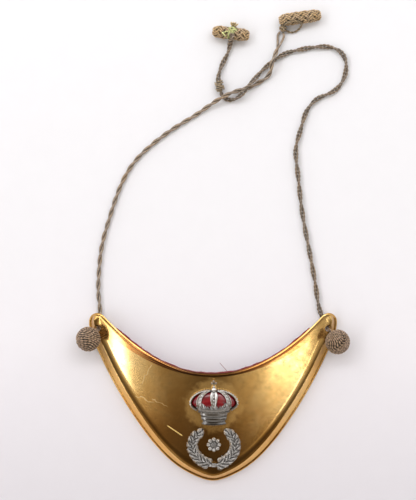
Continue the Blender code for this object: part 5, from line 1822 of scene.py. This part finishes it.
table_finish, table_shader = make_finish("white_table", (0.90, 0.89, 0.905), 0.6)
table_place = object_place(table_finish)
table_grain = noise(table_finish, table_place, 90.0, 3.0, 0.5)
_, table_y, _ = split(table_finish, table_place)
# Painted shade: the table's colour is lightest just behind the plate, a little darker far behind it, and much
# darker towards the front.
far = arithmetic(table_finish, "MULTIPLY_ADD", table_y, 2.0, 0.5)
table_tone_and_shade = ramp(table_finish, far, (
    (0.37, (0.772, 0.760, 0.822)), (0.50, (0.855, 0.845, 0.908)), (0.56, (0.900, 0.894, 0.952)),
    (0.70, (0.888, 0.896, 0.945)), (0.95, (0.865, 0.880, 0.922)),
))
table_tone_and_shade = tinted(table_finish, table_tone_and_shade, ramp(table_finish, table_grain, ((0.3, 0.99), (0.7, 1.0))))
connect(table_finish, table_tone_and_shade, table_shader, "Base Color")
side = np.linspace(-1.6, 1.6, 3)
table_grid = np.stack((*np.meshgrid(side, side, indexing="xy"), np.full((3, 3), -0.0001)), axis=-1)
table_shape = grid_shape(table_grid, side, side, wrap_columns=False)
table = put_piece("table", table_shape, table_finish)
table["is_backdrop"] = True

world = bpy.data.worlds.new("studio")
world.use_nodes = True
background = world.node_tree.nodes["Background"]
sky = split(world, add_node(world, "ShaderNodeTexCoord").outputs["Generated"])

LEFT_WALL, RIGHT_WALL = 1.25, 1.45          # brightness of each part of the room
LEFT_WINDOW, RIGHT_WINDOW = 4.4, 3.4
CEILING = 0.088                             # dark, and warm from the lamps
ROOM = 1.19
PANEL_POWER = 19.7


def along_sky(part, stops):
    """Brightness over one part of the direction, from -1 to 1, through a few stops."""
    share = plus(world, times(world, sky[part], 0.5), 0.5)
    return ramp(world, share, [((value + 1.0) / 2.0, level) for value, level in stops])


left_wall = along_sky("X", (
    (-1.0, 0.62), (-0.72, 0.45), (-0.60, 0.52), (-0.555, 0.42), (-0.45, 0.27), (-0.39, 0.17),
    (-0.33, 0.08), (-0.20, 0.055), (-0.12, 0.0),
))
right_wall = along_sky("X", (
    (0.04, 0.0), (0.09, 0.06), (0.145, 0.18), (0.22, 0.38), (0.29, 0.53), (0.36, 0.64),
    (0.42, 0.74), (0.47, 0.78), (0.66, 0.62), (1.0, 0.80),
))
left_lower = along_sky("Y", ((-0.52, 0.24), (-0.44, 0.40), (-0.40, 0.60), (-0.36, 0.86), (-0.29, 1.25)))
right_lower = along_sky("Y", (
    (-0.50, 0.04), (-0.43, 0.12), (-0.39, 0.34), (-0.35, 0.74), (-0.325, 0.72), (-0.30, 0.42),
    (-0.12, 0.38), (0.0, 0.45), (0.10, 1.0),
))
back_wall = along_sky("Y", ((0.05, 0.0), (0.5, 0.80), (1.0, 0.80)))
front_wall = along_sky("Y", ((-1.0, 0.60), (-0.80, 0.50), (-0.62, 0.0)))
horizon = along_sky("Z", ((-1.0, 0.55), (-0.1, 0.55), (0.06, 0.45), (0.30, 0.0)))
left_wall = times(world, times(world, left_wall, left_lower), LEFT_WALL)
right_wall = times(world, times(world, right_wall, right_lower), RIGHT_WALL)
walls = plus(world, left_wall, right_wall)
left_window = along_sky("X", ((-0.690, 0.0), (-0.665, 1.0), (-0.605, 1.0), (-0.590, 0.0)))
left_window = times(world, left_window, LEFT_WINDOW)
right_window = along_sky("X", ((0.35, 0.0), (0.44, 1.0), (0.62, 1.0), (0.66, 0.0)))
right_window = times(world, right_window, RIGHT_WINDOW)
right_height = along_sky("Y", ((-0.352, 0.0), (-0.343, 1.6), (-0.327, 1.6), (-0.317, 0.0)))
right_window = times(world, right_window, right_height)
for window in (left_window, right_window):
    walls = larger(world, walls, times(world, window, along_sky("Z", ((0.35, 0.0), (0.45, 1.0)))))
for wall in (back_wall, front_wall, horizon):
    walls = larger(world, walls, wall)
warmth = ramp(world, walls, ((0.0, (1.0, 0.74, 0.50)), (0.35, (1.0, 0.87, 0.72)), (0.85, (1.0, 0.985, 0.98))))
room = tinted(world, plus(world, walls, CEILING), warmth)
world.node_tree.links.new(room, background.inputs["Color"])
background.inputs["Strength"].default_value = ROOM
bpy.context.scene.world = world
bpy.context.scene.view_settings.view_transform = "Standard"
area_light("panel_back", (-0.10, 0.95, 1.15), (0.0, 0.10, 0.0), (1.7, 0.9), PANEL_POWER, (0.99, 0.99, 1.0))

# %% Sizes and finish
visual_low, visual_high = (np.array(corner, float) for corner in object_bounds())
low_growth, high_growth = cad_low - visual_low, visual_high - cad_high
print("grown at the low corner", np.round(low_growth * 1000, 2), "high", np.round(high_growth * 1000, 2))
